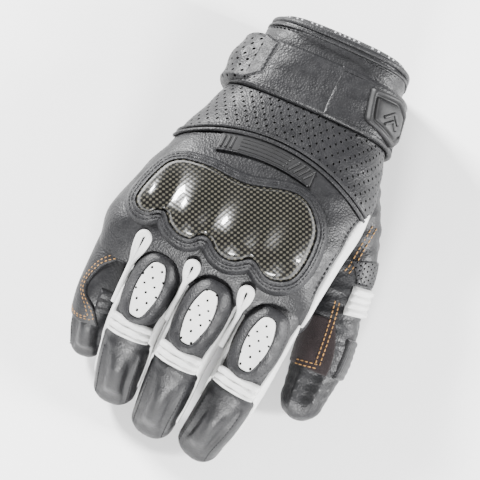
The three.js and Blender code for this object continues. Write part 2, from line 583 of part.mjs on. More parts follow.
// The pull tab is a moulded lozenge on the flap's free end, facing up and to the thumb side.
const TAB_TILT = THREE.MathUtils.degToRad(48);
function tabPrism(scale, near, far) {
  const outline = [[-14, 9], [1, 12], [12, 8], [16, -4], [9, -11], [-10, -7]].map(([x, y]) => [x * scale, y * scale]);
  const shape = new THREE.Shape(outline.map(([x, y]) => new THREE.Vector2(x, y)));
  const geometry = new THREE.ExtrudeGeometry(shape, { depth: far - near, bevelEnabled: false });
  geometry.translate(0, 0, near);
  geometry.rotateZ(THREE.MathUtils.degToRad(-4));
  geometry.rotateY(TAB_TILT);
  geometry.translate(36, 80, 46);
  return toSolid(geometry);
}
const TAB_LIFT = STRAP_LIFT + STRAP.thick + GAP;
const tabBase = tabPrism(1, -12, 20).intersect(cuff(TAB_LIFT + 2.6, 1)).subtract(cuff(TAB_LIFT, 2));
const tabRecess = tabPrism(0.74, -12, 20).subtract(cuff(TAB_LIFT + 1.6, 2));
addPiece('strap_flap', 'pull_tab', largest(tabBase.subtract(tabRecess)), RUBBER);
const emblem = tabPrism(0.42, -12, 20).intersect(cuff(TAB_LIFT + 2.6, 1)).subtract(cuff(TAB_LIFT + 1.6 + GAP, 2));
addPiece('strap_flap', 'tab_emblem', largest(emblem), RUBBER);

hinges.push({ name: 'thumb_swing', parent: 'hand', child: 'thumb_base', at: THUMB_ROOT, axis: [0, 0, 1] });
hinges.push({ name: 'thumb_bend', parent: 'thumb_base', child: 'thumb_tip', at: THUMB_BEND, axis: [0, 0, 1] });
const FLAP_Z = 54.3 + STRAP_LIFT + STRAP.thick;
hinges.push({ name: 'strap_peel', parent: 'hand', child: 'strap_flap', at: [FLAP_X, 78, FLAP_Z], axis: [0, -1, 0] });

// ---- stand the glove on its base, centred over the origin
const bounds = new THREE.Box3().setFromObject(glove);
const centre = bounds.getCenter(new THREE.Vector3());
glove.position.set(-centre.x, -centre.y, -bounds.min.z);
const shift = glove.position.toArray();
glove.userData = {
  bodies,
  hinges: hinges.map((h) => ({ ...h, at: h.at.map((v, i) => v + shift[i]) })),
};

export default glove;
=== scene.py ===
import json
import math

import bmesh
import bpy
import numpy as np
from mathutils import Matrix, Vector


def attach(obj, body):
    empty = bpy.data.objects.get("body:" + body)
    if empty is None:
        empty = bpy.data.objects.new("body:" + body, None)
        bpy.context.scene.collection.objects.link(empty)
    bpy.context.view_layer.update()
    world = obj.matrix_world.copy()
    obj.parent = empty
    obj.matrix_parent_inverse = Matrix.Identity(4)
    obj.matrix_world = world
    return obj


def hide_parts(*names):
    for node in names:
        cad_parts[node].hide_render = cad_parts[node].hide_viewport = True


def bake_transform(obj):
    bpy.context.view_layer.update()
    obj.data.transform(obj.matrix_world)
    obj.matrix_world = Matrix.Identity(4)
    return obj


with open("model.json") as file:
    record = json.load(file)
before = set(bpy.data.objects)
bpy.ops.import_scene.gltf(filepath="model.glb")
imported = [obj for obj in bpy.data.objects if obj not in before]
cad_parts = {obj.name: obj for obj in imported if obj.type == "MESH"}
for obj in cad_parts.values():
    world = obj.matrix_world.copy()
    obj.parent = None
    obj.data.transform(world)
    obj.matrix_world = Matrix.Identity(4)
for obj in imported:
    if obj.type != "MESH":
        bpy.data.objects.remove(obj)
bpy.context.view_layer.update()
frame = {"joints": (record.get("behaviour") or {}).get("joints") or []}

# Shapes are worked out in the glove's own millimetres, and ORIGIN carries them into the frame, in metres.
# POWER and HAND_POWER are the superellipse powers of the digits' and of the hand's sections.
INDEX_KNUCKLE = (31.0, -12.0, 46.0)
HINGE = {j["name"]: np.array(j["pos_m"]) for j in frame["joints"]}
ORIGIN = HINGE["index_knuckle"] - np.array(INDEX_KNUCKLE) / 1000
POWER = 2.4
HAND_POWER = 2.9


def placed(points):
    return np.asarray(points, float) / 1000 + ORIGIN


def vec(*values):
    return np.array(values, float)


# ---------------------------------------------------------------- curves and surfaces
def catmull(points, count):
    p = np.asarray(points, float)
    p = np.vstack([2 * p[0] - p[1], p, 2 * p[-1] - p[-2]])
    spans = len(p) - 3
    out = []
    for t in np.linspace(0, spans, count):
        i = min(int(t), spans - 1)
        w = t - i
        p0, p1, p2, p3 = p[i:i + 4]
        pairs = ((p0, p1), (p1, p2), (p2, p3))
        d0, d1, d2 = (max(np.linalg.norm(b - a) ** 0.5, 1e-6) for a, b in pairs)
        t1 = ((p1 - p0) / d0 - (p2 - p0) / (d0 + d1) + (p2 - p1) / d1) * d1
        t2 = ((p2 - p1) / d1 - (p3 - p1) / (d1 + d2) + (p3 - p2) / d2) * d1
        quad = -3 * p1 + 3 * p2 - 2 * t1 - t2
        out.append(p1 + t1 * w + quad * w ** 2 + (2 * p1 - 2 * p2 + t1 + t2) * w ** 3)
    return np.array(out)


def loop_through(points, count):
    """A smooth closed outline through the points, without the repeated last one."""
    p = np.asarray(points, float)
    n = len(p)
    wrapped = np.vstack([p[-2:], p, p[:3]])
    fine = catmull(wrapped, (len(wrapped) - 1) * 24 + 1)
    fine = fine[2 * 24:(2 + n) * 24 + 1]
    return resample(fine, count + 1)[:-1]


def resample(points, count):
    points = np.asarray(points, float)
    run = np.concatenate([[0], np.cumsum(np.linalg.norm(np.diff(points, axis=0), axis=1))])
    at = np.linspace(0, run[-1], count)
    return np.stack([np.interp(at, run, points[:, k]) for k in range(points.shape[1])], 1)


def unit(v):
    return v / np.maximum(np.linalg.norm(v, axis=-1, keepdims=True), 1e-9)


def sgnpow(v, power):
    return np.sign(v) * np.abs(v) ** power


def curve_of(*pairs):
    """A smooth function through (x, value) pairs."""
    xs = np.array([p[0] for p in pairs], float)
    ys = np.array([p[1] for p in pairs], float)
    order = np.argsort(xs)
    fine = catmull(np.stack([xs[order], ys[order]], 1), 24 * len(xs))
    return lambda x: np.interp(x, np.maximum.accumulate(fine[:, 0]), fine[:, 1])


def step(x, a, b):
    t = np.clip((np.asarray(x, float) - a) / (b - a), 0, 1)
    return t * t * (3 - 2 * t)


def window(x, a, b, soft):
    return step(x, a, a + soft) * (1 - step(x, b - soft, b))


def bell(x, at, wide):
    return np.exp(-(((x - at) / wide) ** 2))


def dome(x):
    return np.sqrt(np.maximum(0, 1 - (1 - np.clip(x, 0, 1)) ** 2))


class Barrel:
    """The hand or the cuff: superellipse sections along y. Rows are y, left, right, middle, top, bottom."""

    def __init__(self, rows):
        self.rows = catmull(sorted(rows), 160)

    def at(self, y):
        y = np.clip(y, self.rows[0, 0], self.rows[-1, 0])
        left, right, middle, top, bottom = (np.interp(y, self.rows[:, 0], self.rows[:, k]) for k in range(1,
                6))
        return (left + right) / 2, (right - left) / 2, middle, top - middle, middle - bottom

    def wrap(self, y, angle, g=0.0):
        centre, half, middle, rise, drop = self.at(y)
        a = np.radians(angle)
        x = centre + sgnpow(np.cos(a), 2 / HAND_POWER) * (half + g)
        over = sgnpow(np.sin(a), 2 / HAND_POWER)
        z = middle + over * (np.where(over > 0, rise, drop) + g)
        return np.stack(np.broadcast_arrays(x, y, z), -1)

    def top(self, x, y, g=0.0):
        centre, half, middle, rise, _ = self.at(y)
        across = np.clip(np.abs(x - centre) / (half + g), 0, 0.9995)
        z = middle + (rise + g) * (1 - across ** HAND_POWER) ** (1 / HAND_POWER)
        return np.stack(np.broadcast_arrays(x, y, z), -1)

    def level(self, p, g=0.0):
        """Below 1 inside the barrel grown by g."""
        centre, half, middle, rise, drop = self.at(p[..., 1])
        dz = p[..., 2] - middle
        high = np.where(dz > 0, rise, drop) + g
        return np.abs((p[..., 0] - centre) / (half + g)) ** HAND_POWER + np.abs(dz / high) ** HAND_POWER

    def onto(self, points, direction, g):
        """The points moved along the direction until they are g above the barrel."""
        low, high = np.full(points.shape[:-1], -40.0), np.full(points.shape[:-1], 30.0)
        for _ in range(26):
            mid = (low + high) / 2
            inside = self.level(points + direction * mid[..., None], g) < 1
            low, high = np.where(inside, mid, low), np.where(inside, high, mid)
        return points + direction * low[..., None]


class Digit:
    """A finger or the thumb. Rows are x, y, z, half width, half height; s counts from row `zero`."""

    def __init__(self, rows, zero):
        rows = np.array(rows, float)
        spans = len(rows) - 1
        pts = catmull(rows[:, :3], spans * 60 + 1)
        par = np.linspace(0, spans, len(pts))
        run = np.concatenate([[0], np.cumsum(np.linalg.norm(np.diff(pts, axis=0), axis=1))])
        self.s = run - run[zero * 60]
        sizes = np.stack([np.interp(par, np.arange(spans + 1), rows[:, k]) for k in (3, 4)], 1)
        kernel = np.hanning(41) / np.hanning(41).sum()
        padded = np.pad(sizes, ((20, 20), (0, 0)), mode="edge")
        sizes = np.stack([np.convolve(padded[:, k], kernel, "valid") for k in (0, 1)], 1)
        along = unit(np.gradient(pts, axis=0))
        right = unit(np.cross([0, 0, 1], along))
        right *= np.sign(right[:, :1])
        up = np.cross(along, right)
        up *= np.sign(up[:, 2:])
        self.table = np.hstack([pts, along, right, up, sizes])
        self.end = self.s[-1]
        self.row_s = self.s[::60]

    def frame(self, s):
        s = np.clip(s, self.s[0], self.end)
        cols = [np.interp(s, self.s, self.table[:, k]) for k in range(14)]
        spots = [np.stack(cols[k:k + 3], -1) for k in (0, 3, 6, 9)]
        return (*spots, cols[12], cols[13])

    def wrap(self, s, angle, g=0.0):
        s, angle, g = np.broadcast_arrays(np.asarray(s, float), angle, g)
        at, along, right, up, wide, high = self.frame(s)
        turn = np.clip((s - self.end) / high, 0, 1) * math.pi / 2
        a = np.radians(angle)
        across = sgnpow(np.cos(a), 2 / POWER) * (wide + g) * np.cos(turn)
        over = sgnpow(np.sin(a), 2 / POWER) * (high + g) * np.cos(turn)
        reach = np.sin(turn) * (high + g)
        return at + right * across[..., None] + up * over[..., None] + along * reach[..., None]

    def dorsal(self, a, s, g=0.0):
        a, s, g = np.broadcast_arrays(np.asarray(a, float), s, g)
        at, _, right, up, wide, high = self.frame(s)
        r = np.clip(np.abs(a) / wide, 0, 0.995)
        over = high * (1 - r ** POWER) ** (1 / POWER) + g
        return at + right * a[..., None] + up * over[..., None]


# ---------------------------------------------------------------- meshes
def build(name, verts, faces, look, body=None, uv=None, slot=None, stands_for=(), between=None):
    mesh = bpy.data.meshes.new(name)
    mesh.from_pydata(placed(verts).tolist(), [], faces)
    if uv is not None:
        layer = mesh.uv_layers.new(name="mm")
        index = np.zeros(len(mesh.loops), np.int32)
        mesh.loops.foreach_get("vertex_index", index)
        layer.data.foreach_set("uv", np.asarray(uv, np.float32)[index].ravel())
    work = bmesh.new()
    work.from_mesh(mesh)
    bmesh.ops.remove_doubles(work, verts=work.verts, dist=1.5e-5)
    bmesh.ops.dissolve_degenerate(work, edges=work.edges, dist=2e-6)
    loose = [v for v in work.verts if not v.link_faces]
    bmesh.ops.delete(work, geom=loose, context="VERTS")
    work.to_mesh(mesh)
    work.free()
    mesh.polygons.foreach_set("use_smooth", [True] * len(mesh.polygons))
    mesh.materials.append(look)
    obj = bpy.data.objects.new(name, mesh)
    bpy.context.scene.collection.objects.link(obj)
    if between:
        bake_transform(obj)
    else:
        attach(obj, body)
    if stands_for:
        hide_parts(*stands_for)
    return obj


def grid(rows, cols, close_rows=False, close_cols=False, flip=False, base=0):
    faces = []
    for i in range(rows if close_rows else rows - 1):
        for j in range(cols if close_cols else cols - 1):
            i2, j2 = (i + 1) % rows, (j + 1) % cols
            face = [i * cols + j, i2 * cols + j, i2 * cols + j2, i * cols + j2]
            faces.append([f + base for f in (face[::-1] if flip else face)])
    return faces


def outward(P, Q, close_cols=False):
    """True if a grid's faces turn away from the direction in which it grows."""
    a = P[1:, :-1] - P[:-1, :-1]
    b = P[:-1, 1:] - P[:-1, :-1]
    return float((np.cross(a, b) * (Q - P)[:-1, :-1]).sum()) < 0


def patch(name, surface, U, V, G, look, close_cols=False, cull=None, under=None, uv=None, **how):
    U, V, G = np.broadcast_arrays(np.asarray(U, float), V, G)
    P = surface(U, V, G)
    flip = outward(P, surface(U, V, G + 0.3))
    rows, cols = U.shape
    faces = grid(rows, cols, False, close_cols, flip)
    verts = P.reshape(-1, 3)
    coords = (np.stack([U, V], -1) if uv is None else uv).reshape(-1, 2)
    if under is not None:
        below = surface(U, V, np.broadcast_to(under, U.shape)).reshape(-1, 3)
        faces += grid(rows, cols, False, close_cols, not flip, len(verts))
        verts, coords = np.vstack([verts, below]), np.vstack([coords, coords])
    if cull is not None:
        gone = cull(verts)
        faces = [f for f in faces if not all(gone[k] for k in f)]
    return build(name, verts, faces, look, uv=coords, **how)


def spread(a, b, n, ends=0.72):
    t = np.linspace(0, 1, n)
    t = t - ends / (2 * math.pi) * np.sin(2 * math.pi * t)
    return a + (b - a) * t


def runs(P, axis):
    d = np.linalg.norm(np.diff(P, axis=axis), axis=-1)
    zero = np.zeros_like(np.take(d, [0], axis))
    return np.concatenate([zero, np.cumsum(d, axis)], axis)


def strip(name, surface, ends, low, high, look, tall=1.2, soft=1.3, rows=40, cols=14,
          extra=None, sink=0.5, lift=0.0, closed=False, swap=False, **how):
    """A raised piece of skin on a surface, between two ends of u and two edges of v."""
    u = spread(*ends, rows)
    f = spread(0, 1, cols)
    lo, hi = low(u) + 0 * u, high(u) + 0 * u
    U = u[:, None] + 0 * f
    V = lo[:, None] + (hi - lo)[:, None] * f
    put = (lambda p, q, g: surface(q, p, g)) if swap else surface
    flat = put(U, V, 0 * U)
    along, across = runs(flat, 0), runs(flat, 1)
    d = np.minimum(np.minimum(across, across[:, -1:] - across), np.minimum(along, along[-1:] - along))
    G = lift + tall * dome(d / soft)
    G = np.where(d < 0.02, lift - (0 if closed else sink), G)
    if extra is not None:
        G = G + extra(U, V, along, across) * np.clip(d / soft, 0, 1)
    mid = along[:, cols // 2][:, None] + 0 * f
    uv = np.stack([mid, across], -1)
    return patch(name, put, U, V, G, look, under=lift if closed else None, uv=uv, **how)


def blob(name, surface, outline, core, shares, height, look, under=None, **how):
    """A piece with any outline, as rings from the outline to a core line inside it."""
    outline, core = np.asarray(outline, float), np.asarray(core, float)
    t = np.asarray(shares, float)[:, None, None]
    ring = outline[None] * (1 - t) + core[None] * t
    inset = t[..., 0] * np.linalg.norm(outline - core, axis=1)[None]
    G = height(inset, ring[..., 0], ring[..., 1], t[..., 0])
    return patch(name, surface, ring[..., 0], ring[..., 1], G, look, close_cols=True, under=under, **how)


def core_line(outline, inset):
    """Points of the long middle line of an outline, one for each outline point."""
    outline = np.asarray(outline, float)
    centre = (outline.max(0) + outline.min(0)) / 2
    half = (outline.max(0) - outline.min(0)) / 2
    long = int(half[1] > half[0])
    reach = max(half[long] - inset, 0.1)
    core = np.tile(centre, (len(outline), 1))
    core[:, long] = centre[long] + (outline[:, long] - centre[long]) / half[long] * reach
    return core


def offset_rings(outline, steps, smoothing=0.25):
    """Outlines stepped outwards by each of the given distances, eased so that notches don't fold."""
    ring, done, out = np.asarray(outline, float), 0.0, []
    turn = np.sum(ring[:, 0] * np.roll(ring[:, 1], -1) - np.roll(ring[:, 0], -1) * ring[:, 1])
    for goal in steps:
        count = max(1, int(abs(goal - done) / 0.4))
        for _ in range(count):
            tangent = unit(np.roll(ring, -1, 0) - np.roll(ring, 1, 0))
            normal = np.stack([tangent[:, 1], -tangent[:, 0]], 1) * np.sign(turn)
            ring = ring + normal * (goal - done) / count
            ring = ring * (1 - smoothing) + (np.roll(ring, 1, 0) + np.roll(ring, -1, 0)) * smoothing / 2
        done = goal
        out.append(ring)
    return np.array(out)


def sweep(name, path, normals, half_wide, half_high, look, sides=10, closed=False, **how):
    """A rounded band or cord along a path."""
    path, normals = np.asarray(path, float), unit(np.asarray(normals, float))
    along = unit(np.roll(path, -1, 0) - np.roll(path, 1, 0)) if closed else unit(np.gradient(path, axis=0))
    side = unit(np.cross(along, normals))
    up = np.cross(side, along)
    wide = np.broadcast_to(half_wide, len(path))[:, None]
    high = np.broadcast_to(half_high, len(path))[:, None]
    rings = []
    for k in range(sides):
        a = 2 * math.pi * k / sides
        rings.append(path + side * wide * sgnpow(math.cos(a), 0.8) + up * high * sgnpow(math.sin(a), 0.8))
    P = np.stack(rings, 1)
    run = np.concatenate([[0], np.cumsum(np.linalg.norm(np.diff(path, axis=0), axis=1))])
    uv = np.stack(np.broadcast_arrays(run[:, None], np.arange(sides)[None] * 1.0), -1)
    verts = P.reshape(-1, 3)
    faces = grid(len(path), sides, closed, True)
    a, b = P[1, 0] - P[0, 0], P[0, 1] - P[0, 0]
    if np.dot(np.cross(a, b), P[0, 0] - path[0]) < 0:
        faces = [f[::-1] for f in faces]
        caps = [list(range(sides))[::-1], list(range(len(verts) - sides, len(verts)))]
    else:
        caps = [list(range(sides)), list(range(len(verts) - sides, len(verts)))[::-1]]
    if not closed:
        faces += [c[::-1] for c in caps]
    return build(name, verts, faces, look, uv=uv.reshape(-1, 2), **how)


def closed(ring):
    return np.vstack([ring, ring[:1]])


def on(surface, points, g=0.0, count=None):
    """A path over a surface from (u, v) points, and the surface's outward directions along it."""
    pts = np.asarray(points, float)
    if len(pts) > 2:
        pts = catmull(pts, len(pts) * 16)
    else:
        pts = resample(pts, 40)
    P = surface(pts[:, 0], pts[:, 1], g + 0 * pts[:, 0])
    run = np.concatenate([[0], np.cumsum(np.linalg.norm(np.diff(P, axis=0), axis=1))])
    count = count or max(int(run[-1] / 0.8), 6)
    at = np.linspace(0, run[-1], count)
    uv = np.stack([np.interp(at, run, pts[:, k]) for k in (0, 1)], 1)
    P = surface(uv[:, 0], uv[:, 1], g + 0 * uv[:, 0])
    N = unit(surface(uv[:, 0], uv[:, 1], g + 0.5 + 0 * uv[:, 0]) - P)
    return P, N


def stitches(name, rows, look, pitch=2.5, length=1.8, thick=0.3, **how):
    """Rows of thread stitches; each row is a path and the surface's outward directions along it."""
    verts, faces = [], []
    ring = [(math.cos(2 * math.pi * k / 6), math.sin(2 * math.pi * k / 6)) for k in range(6)]
    shape = [(-0.5, 0.05), (-0.42, 0.7), (-0.2, 1.0), (0.2, 1.0), (0.42, 0.7), (0.5, 0.05)]
    for path, normals in rows:
        run = np.concatenate([[0], np.cumsum(np.linalg.norm(np.diff(path, axis=0), axis=1))])
        count = max(int(run[-1] / pitch), 1)
        for k in range(count):
            spots = (k + 0.5 + np.array([t for t, _ in shape]) * length / pitch) * run[-1] / count
            centre = np.stack([np.interp(spots, run, path[:, c]) for c in range(3)], 1)
            up = unit(np.stack([np.interp(spots, run, normals[:, c]) for c in range(3)], 1))
            side = unit(np.cross(unit(np.gradient(centre, axis=0)), up))
            base = len(verts)
            for (t, r), c, u, w in zip(shape, centre, up, side):
                sunk = c - u * thick * 0.9 * (abs(t) / 0.5) ** 3
                for x, y in ring:
                    verts.append(sunk + w * x * thick * r + u * y * thick * r * 0.8)
            faces += grid(len(shape), 6, False, True, False, base)
            faces.append([base + i for i in range(6)][::-1])
            faces.append([base + 30 + i for i in range(6)])
    return build(name, np.array(verts), faces, look, **how)


BIGGER = 10
CLOTH_FRAMES = 20


def settled(obj, cap=0.00045):
    """A pad's skin after a cloth simulation with air inside, the border sewn down and no gravity.

    It is run at ten times the size, and the movement it gives is eased and limited to `cap` metres.
    It moves the lofted form only slightly.
    """
    scene = bpy.context.scene
    mesh = obj.data.copy()
    work = bpy.data.objects.new("settling", mesh)
    scene.collection.objects.link(work)
    rest = np.zeros(len(mesh.vertices) * 3)
    mesh.vertices.foreach_get("co", rest)
    mesh.vertices.foreach_set("co", rest * BIGGER)
    ends = np.zeros(len(mesh.edges) * 2, np.int32)
    mesh.edges.foreach_get("vertices", ends)
    ends = ends.reshape(-1, 2)
    skin = bmesh.new()
    skin.from_mesh(mesh)
    sewn = np.array([v.is_boundary for v in skin.verts])
    skin.free()
    sewn[ends[sewn[ends].any(1)].ravel()] = True
    work.vertex_groups.new(name="sewn").add(np.flatnonzero(sewn).tolist(), 1.0, "REPLACE")
    cloth = work.modifiers.new("cloth", "CLOTH").settings
    cloth.vertex_group_mass = "sewn"
    cloth.use_pressure = True
    cloth.uniform_pressure_force = 4.0
    cloth.effector_weights.gravity = 0.0
    for frame_number in range(1, CLOTH_FRAMES + 1):
        scene.frame_set(frame_number)
    blown = work.evaluated_get(bpy.context.evaluated_depsgraph_get()).data
    moved = np.zeros(len(rest))
    blown.vertices.foreach_get("co", moved)
    move = (moved / BIGGER - rest).reshape(-1, 3)
    move *= np.minimum(1, cap / np.maximum(np.linalg.norm(move, axis=1), 1e-9))[:, None]
    count = np.maximum(np.bincount(ends.ravel(), minlength=len(move)), 1)[:, None]
    for _ in range(2):
        total = np.zeros_like(move)
        np.add.at(total, ends[:, 0], move[ends[:, 1]])
        np.add.at(total, ends[:, 1], move[ends[:, 0]])
        move = np.where(sewn[:, None], 0, move * 0.5 + total / count * 0.5)
    obj.data.vertices.foreach_set("co", rest + move.ravel())
    obj.data.update()
    scene.frame_set(1)
    bpy.data.objects.remove(work)


# ---------------------------------------------------------------- materials
class Look:
    """A node material on one Principled shader."""

    def __init__(self, name, color, rough, **inputs):
        self.mat = bpy.data.materials.new(name)
        self.mat.use_nodes = True
        self.nodes = self.mat.node_tree.nodes
        self.links = self.mat.node_tree.links
        self.shader = self.nodes["Principled BSDF"]
        self.shader.inputs["Base Color"].default_value = (*color, 1)
        self.shader.inputs["Roughness"].default_value = rough
        for key, value in inputs.items():
            self.shader.inputs[key.replace("_", " ")].default_value = value
        coords = self.nodes.new("ShaderNodeTexCoord")
        self.object, self.uv = coords.outputs["Object"], coords.outputs["UV"]
        self.normal = None

    def node(self, kind, links=(), **values):
        n = self.nodes.new(kind)
        for key, value in values.items():
            if key in ("operation", "feature", "distance", "wave_type", "bands_direction",
                       "interpolation_type"):
                setattr(n, key, value)
            else:
                n.inputs[int(key[1:]) if key[1:].isdigit() else key.replace("_", " ")].default_value = value
        for socket, source in dict(links).items():
            self.links.new(source, n.inputs[socket])
        return n

    def math(self, operation, a, b=0.0, c=0.0):
        n = self.nodes.new("ShaderNodeMath")
        n.operation = operation
        for k, value in enumerate((a, b, c)):
            if hasattr(value, "links"):
                self.links.new(value, n.inputs[k])
            else:
                n.inputs[k].default_value = value
        return n.outputs[0]

    def add(self, a, b):
        return self.math("ADD", a, b)

    def mul(self, a, b):
        return self.math("MULTIPLY", a, b)

    def noise(self, scale, detail=3.0, source=None, rough=0.55):
        n = self.node("ShaderNodeTexNoise", {"Vector": source or self.object}, Scale=scale, Detail=detail,
                      Roughness=rough)
        return n.outputs["Fac"]

    def cells(self, scale, source=None, feature="F1"):
        n = self.node("ShaderNodeTexVoronoi", {"Vector": source or self.object}, feature=feature, Scale=scale)
        return n.outputs["Distance"]

    def ramp(self, source, *stops):
        n = self.nodes.new("ShaderNodeValToRGB")
        self.links.new(source, n.inputs["Fac"])
        ramp = n.color_ramp
        while len(ramp.elements) < len(stops):
            ramp.elements.new(0.5)
        for element, (at, color) in zip(ramp.elements, stops):
            element.position = at
            element.color = (*color, 1) if len(color) == 3 else color
        return n.outputs["Color"]

    def bump(self, height, strength, distance):
        n = self.node("ShaderNodeBump", {"Height": height}, Strength=strength, Distance=distance)
        if self.normal is not None:
            self.links.new(self.normal, n.inputs["Normal"])
        self.normal = n.outputs["Normal"]
        self.links.new(self.normal, self.shader.inputs["Normal"])

    def paint(self, source, socket="Base Color"):
        self.links.new(source, self.shader.inputs[socket])

    def dots(self, pitch, row, radius, soft=0.12, turn=0.0):
        """A mask, 1 in round holes set out in staggered rows on the mm map."""
        sep = self.node("ShaderNodeSeparateXYZ", {0: self.uv})
        u, v = sep.outputs[0], sep.outputs[1]
        if turn:
            c, s = math.cos(math.radians(turn)), math.sin(math.radians(turn))
            u, v = (self.add(self.mul(u, c), self.mul(v, -s)),
                    self.add(self.mul(u, s), self.mul(v, c)))
        rows = self.math("DIVIDE", v, row)
        parity = self.mul(self.math("FLOORED_MODULO", self.math("FLOOR", rows), 2.0), 0.5)
        fu = self.math("SUBTRACT", self.math("FRACT", self.add(self.math("DIVIDE", u, pitch),
                parity)), 0.5)
        fv = self.math("SUBTRACT", self.math("FRACT", rows), 0.5)
        x, y = self.mul(fu, pitch), self.mul(fv, row)
        far = self.math("SQRT", self.add(self.mul(x, x), self.mul(y, y)))
        n = self.node("ShaderNodeMapRange", {"Value": far}, interpolation_type="SMOOTHSTEP",
                      From_Min=radius - soft, From_Max=radius + soft, To_Min=1.0, To_Max=0.0)
        return n.outputs[0]

    def blend(self, mask, a, b):
        n = self.nodes.new("ShaderNodeMix")
        n.data_type = "RGBA"
        self.links.new(mask, n.inputs["Factor"])
        for socket, value in ((n.inputs[6], a), (n.inputs[7], b)):
            if hasattr(value, "links"):
                self.links.new(value, socket)
            else:
                socket.default_value = (*value, 1)
        return n.outputs[2]


def leather(name, dark, light, rough, grain=1000.0, depth=0.6, holes=None, creases=0.35, **inputs):
    k = Look(name, dark, rough, **inputs)
    wear = k.ramp(k.noise(70.0, 5.0), (0.3, dark), (0.72, light))
    pebbles = k.cells(grain)
    k.bump(k.noise(160.0, 4.0), creases, 0.0006)
    k.bump(pebbles, depth, 0.00026)
    k.bump(k.noise(grain * 2.2, 2.0), depth * 0.5, 0.00008)
    if holes:
        mask = k.dots(*holes)
        k.paint(k.blend(mask, wear, (0.002, 0.002, 0.002)))
        k.bump(k.math("SUBTRACT", 1.0, mask), 0.9, 0.0005)
        k.paint(k.math("MULTIPLY_ADD", mask, -0.42, 0.42), "Specular IOR Level")
    else:
        k.paint(wear)
    shine = k.noise(300.0, 3.0)
    n = k.node("ShaderNodeMapRange", {"Value": shine}, From_Min=0.3, From_Max=0.7,
               To_Min=rough - 0.06, To_Max=rough + 0.1)
    k.paint(n.outputs[0], "Roughness")
    return k.mat


def threaded(name, color, rough=0.6):
    k = Look(name, color, rough, Specular_IOR_Level=0.3)
    twist = k.node("ShaderNodeTexWave", {"Vector": k.object}, Scale=900.0, Distortion=2.0)
    k.bump(twist.outputs["Fac"], 0.5, 0.0001)
    darker = tuple(c * 0.55 for c in color)
    k.paint(k.ramp(k.noise(600.0, 2.0), (0.3, darker), (0.65, color)))
    return k.mat


def knitted(name, dark, light, pitch=1.1, rough=0.85):
    k = Look(name, dark, rough, Sheen_Weight=0.25)
    sep = k.node("ShaderNodeSeparateXYZ", {0: k.uv})
    turn = 2 * math.pi / pitch
    a = k.math("SINE", k.mul(sep.outputs[0], turn))
    b = k.math("SINE", k.mul(k.add(sep.outputs[1], k.mul(a, 0.12)), turn))
    weave = k.math("MULTIPLY_ADD", k.mul(a, b), 0.5, 0.5)
    k.paint(k.ramp(k.add(weave, k.mul(k.noise(400.0, 3.0), 0.3)), (0.35, dark),
                   (0.95, light)))
    k.bump(weave, 0.8, 0.0004)
    k.bump(k.noise(2500.0, 2.0), 0.4, 0.0001)
    return k.mat


def twill(name):
    k = Look(name, (0.02, 0.02, 0.02), 0.3, Coat_Weight=1.0, Coat_Roughness=0.03, Coat_IOR=1.34,
             Specular_IOR_Level=0.25)
    sep = k.node("ShaderNodeSeparateXYZ", {0: k.uv})
    wobble = k.mul(k.math("SUBTRACT", k.noise(120.0, 2.0), 0.5), 0.5)
    u = k.add(sep.outputs[0], wobble)
    v = k.math("SUBTRACT", sep.outputs[1], wobble)
    c, s = math.cos(math.radians(-24)), math.sin(math.radians(-24))
    p = k.mul(k.add(k.mul(u, c), k.mul(v, -s)), math.pi / 1.5)
    q = k.mul(k.add(k.mul(u, s), k.mul(v, c)), math.pi / 1.25)
    tows = k.mul(k.math("SINE", p), k.math("SINE", q))
    share = k.math("MULTIPLY_ADD", tows, 0.5, 0.5)
    threads = k.math("SINE", k.mul(u, 16.0))
    lit = k.add(share, k.mul(threads, 0.04))
    k.paint(k.ramp(lit, (0.38, (0.0012, 0.0012, 0.0012)), (0.58, (0.012, 0.0115, 0.009)),
                   (0.78, (0.058, 0.054, 0.041))))
    k.bump(share, 0.35, 0.0002)
    return k.mat


def rubbery(name, color, light, rough=0.55):
    k = Look(name, color, rough, Specular_IOR_Level=0.45)
    k.paint(k.ramp(k.noise(220.0, 4.0), (0.35, color), (0.75, light)))
    k.bump(k.noise(3200.0, 2.0), 0.35, 0.00008)
    k.bump(k.noise(260.0, 3.0), 0.25, 0.0002)
    return k.mat


def black_leather(name, rough, dark=(0.0048, 0.0048, 0.0057), light=(0.0105, 0.0105, 0.012), **how):
    return leather(name, dark, light, rough, Specular_IOR_Level=0.42, **how)


BLACK = black_leather("black_grain", 0.47, (0.0042, 0.0042, 0.0050), (0.0095, 0.0095, 0.0108))
SOFT = black_leather("soft_grain", 0.5, grain=1150.0, creases=0.45)
PERFORATED = black_leather("perforated_grain", 0.47, holes=(4.2, 3.0, 0.55))
FINE_HOLES = black_leather("vent_grain", 0.47, holes=(2.6, 2.0, 0.4))
SUEDE = leather("suede", (0.008, 0.0052, 0.0056), (0.018, 0.012, 0.0125), 0.9, grain=2600.0, depth=0.8,
                Sheen_Weight=0.15, Specular_IOR_Level=0.2)
WHITE = leather("white_grain", (0.52, 0.52, 0.515), (0.66, 0.66, 0.65), 0.45, grain=1300.0, depth=0.35,
                creases=0.3)
INSERT = leather("white_perforated", (0.54, 0.54, 0.535), (0.68, 0.68, 0.67), 0.45, grain=1300.0,
                 depth=0.35, creases=0.2, holes=(5.2, 4.0, 0.55))
TIPS = black_leather("tip_grain", 0.46, (0.0045, 0.0045, 0.0053), (0.0085, 0.0085, 0.0098), depth=0.35,
                     creases=0.08)
CARBON = twill("clear_coated_twill")
RUBBER = rubbery("moulded_rubber", (0.0038, 0.0038, 0.0042), (0.008, 0.008, 0.009))
CREST = rubbery("crest_rubber", (0.0036, 0.0036, 0.004), (0.0075, 0.0075, 0.0085), 0.58)
GOLD = threaded("gold_thread", (0.36, 0.19, 0.058))
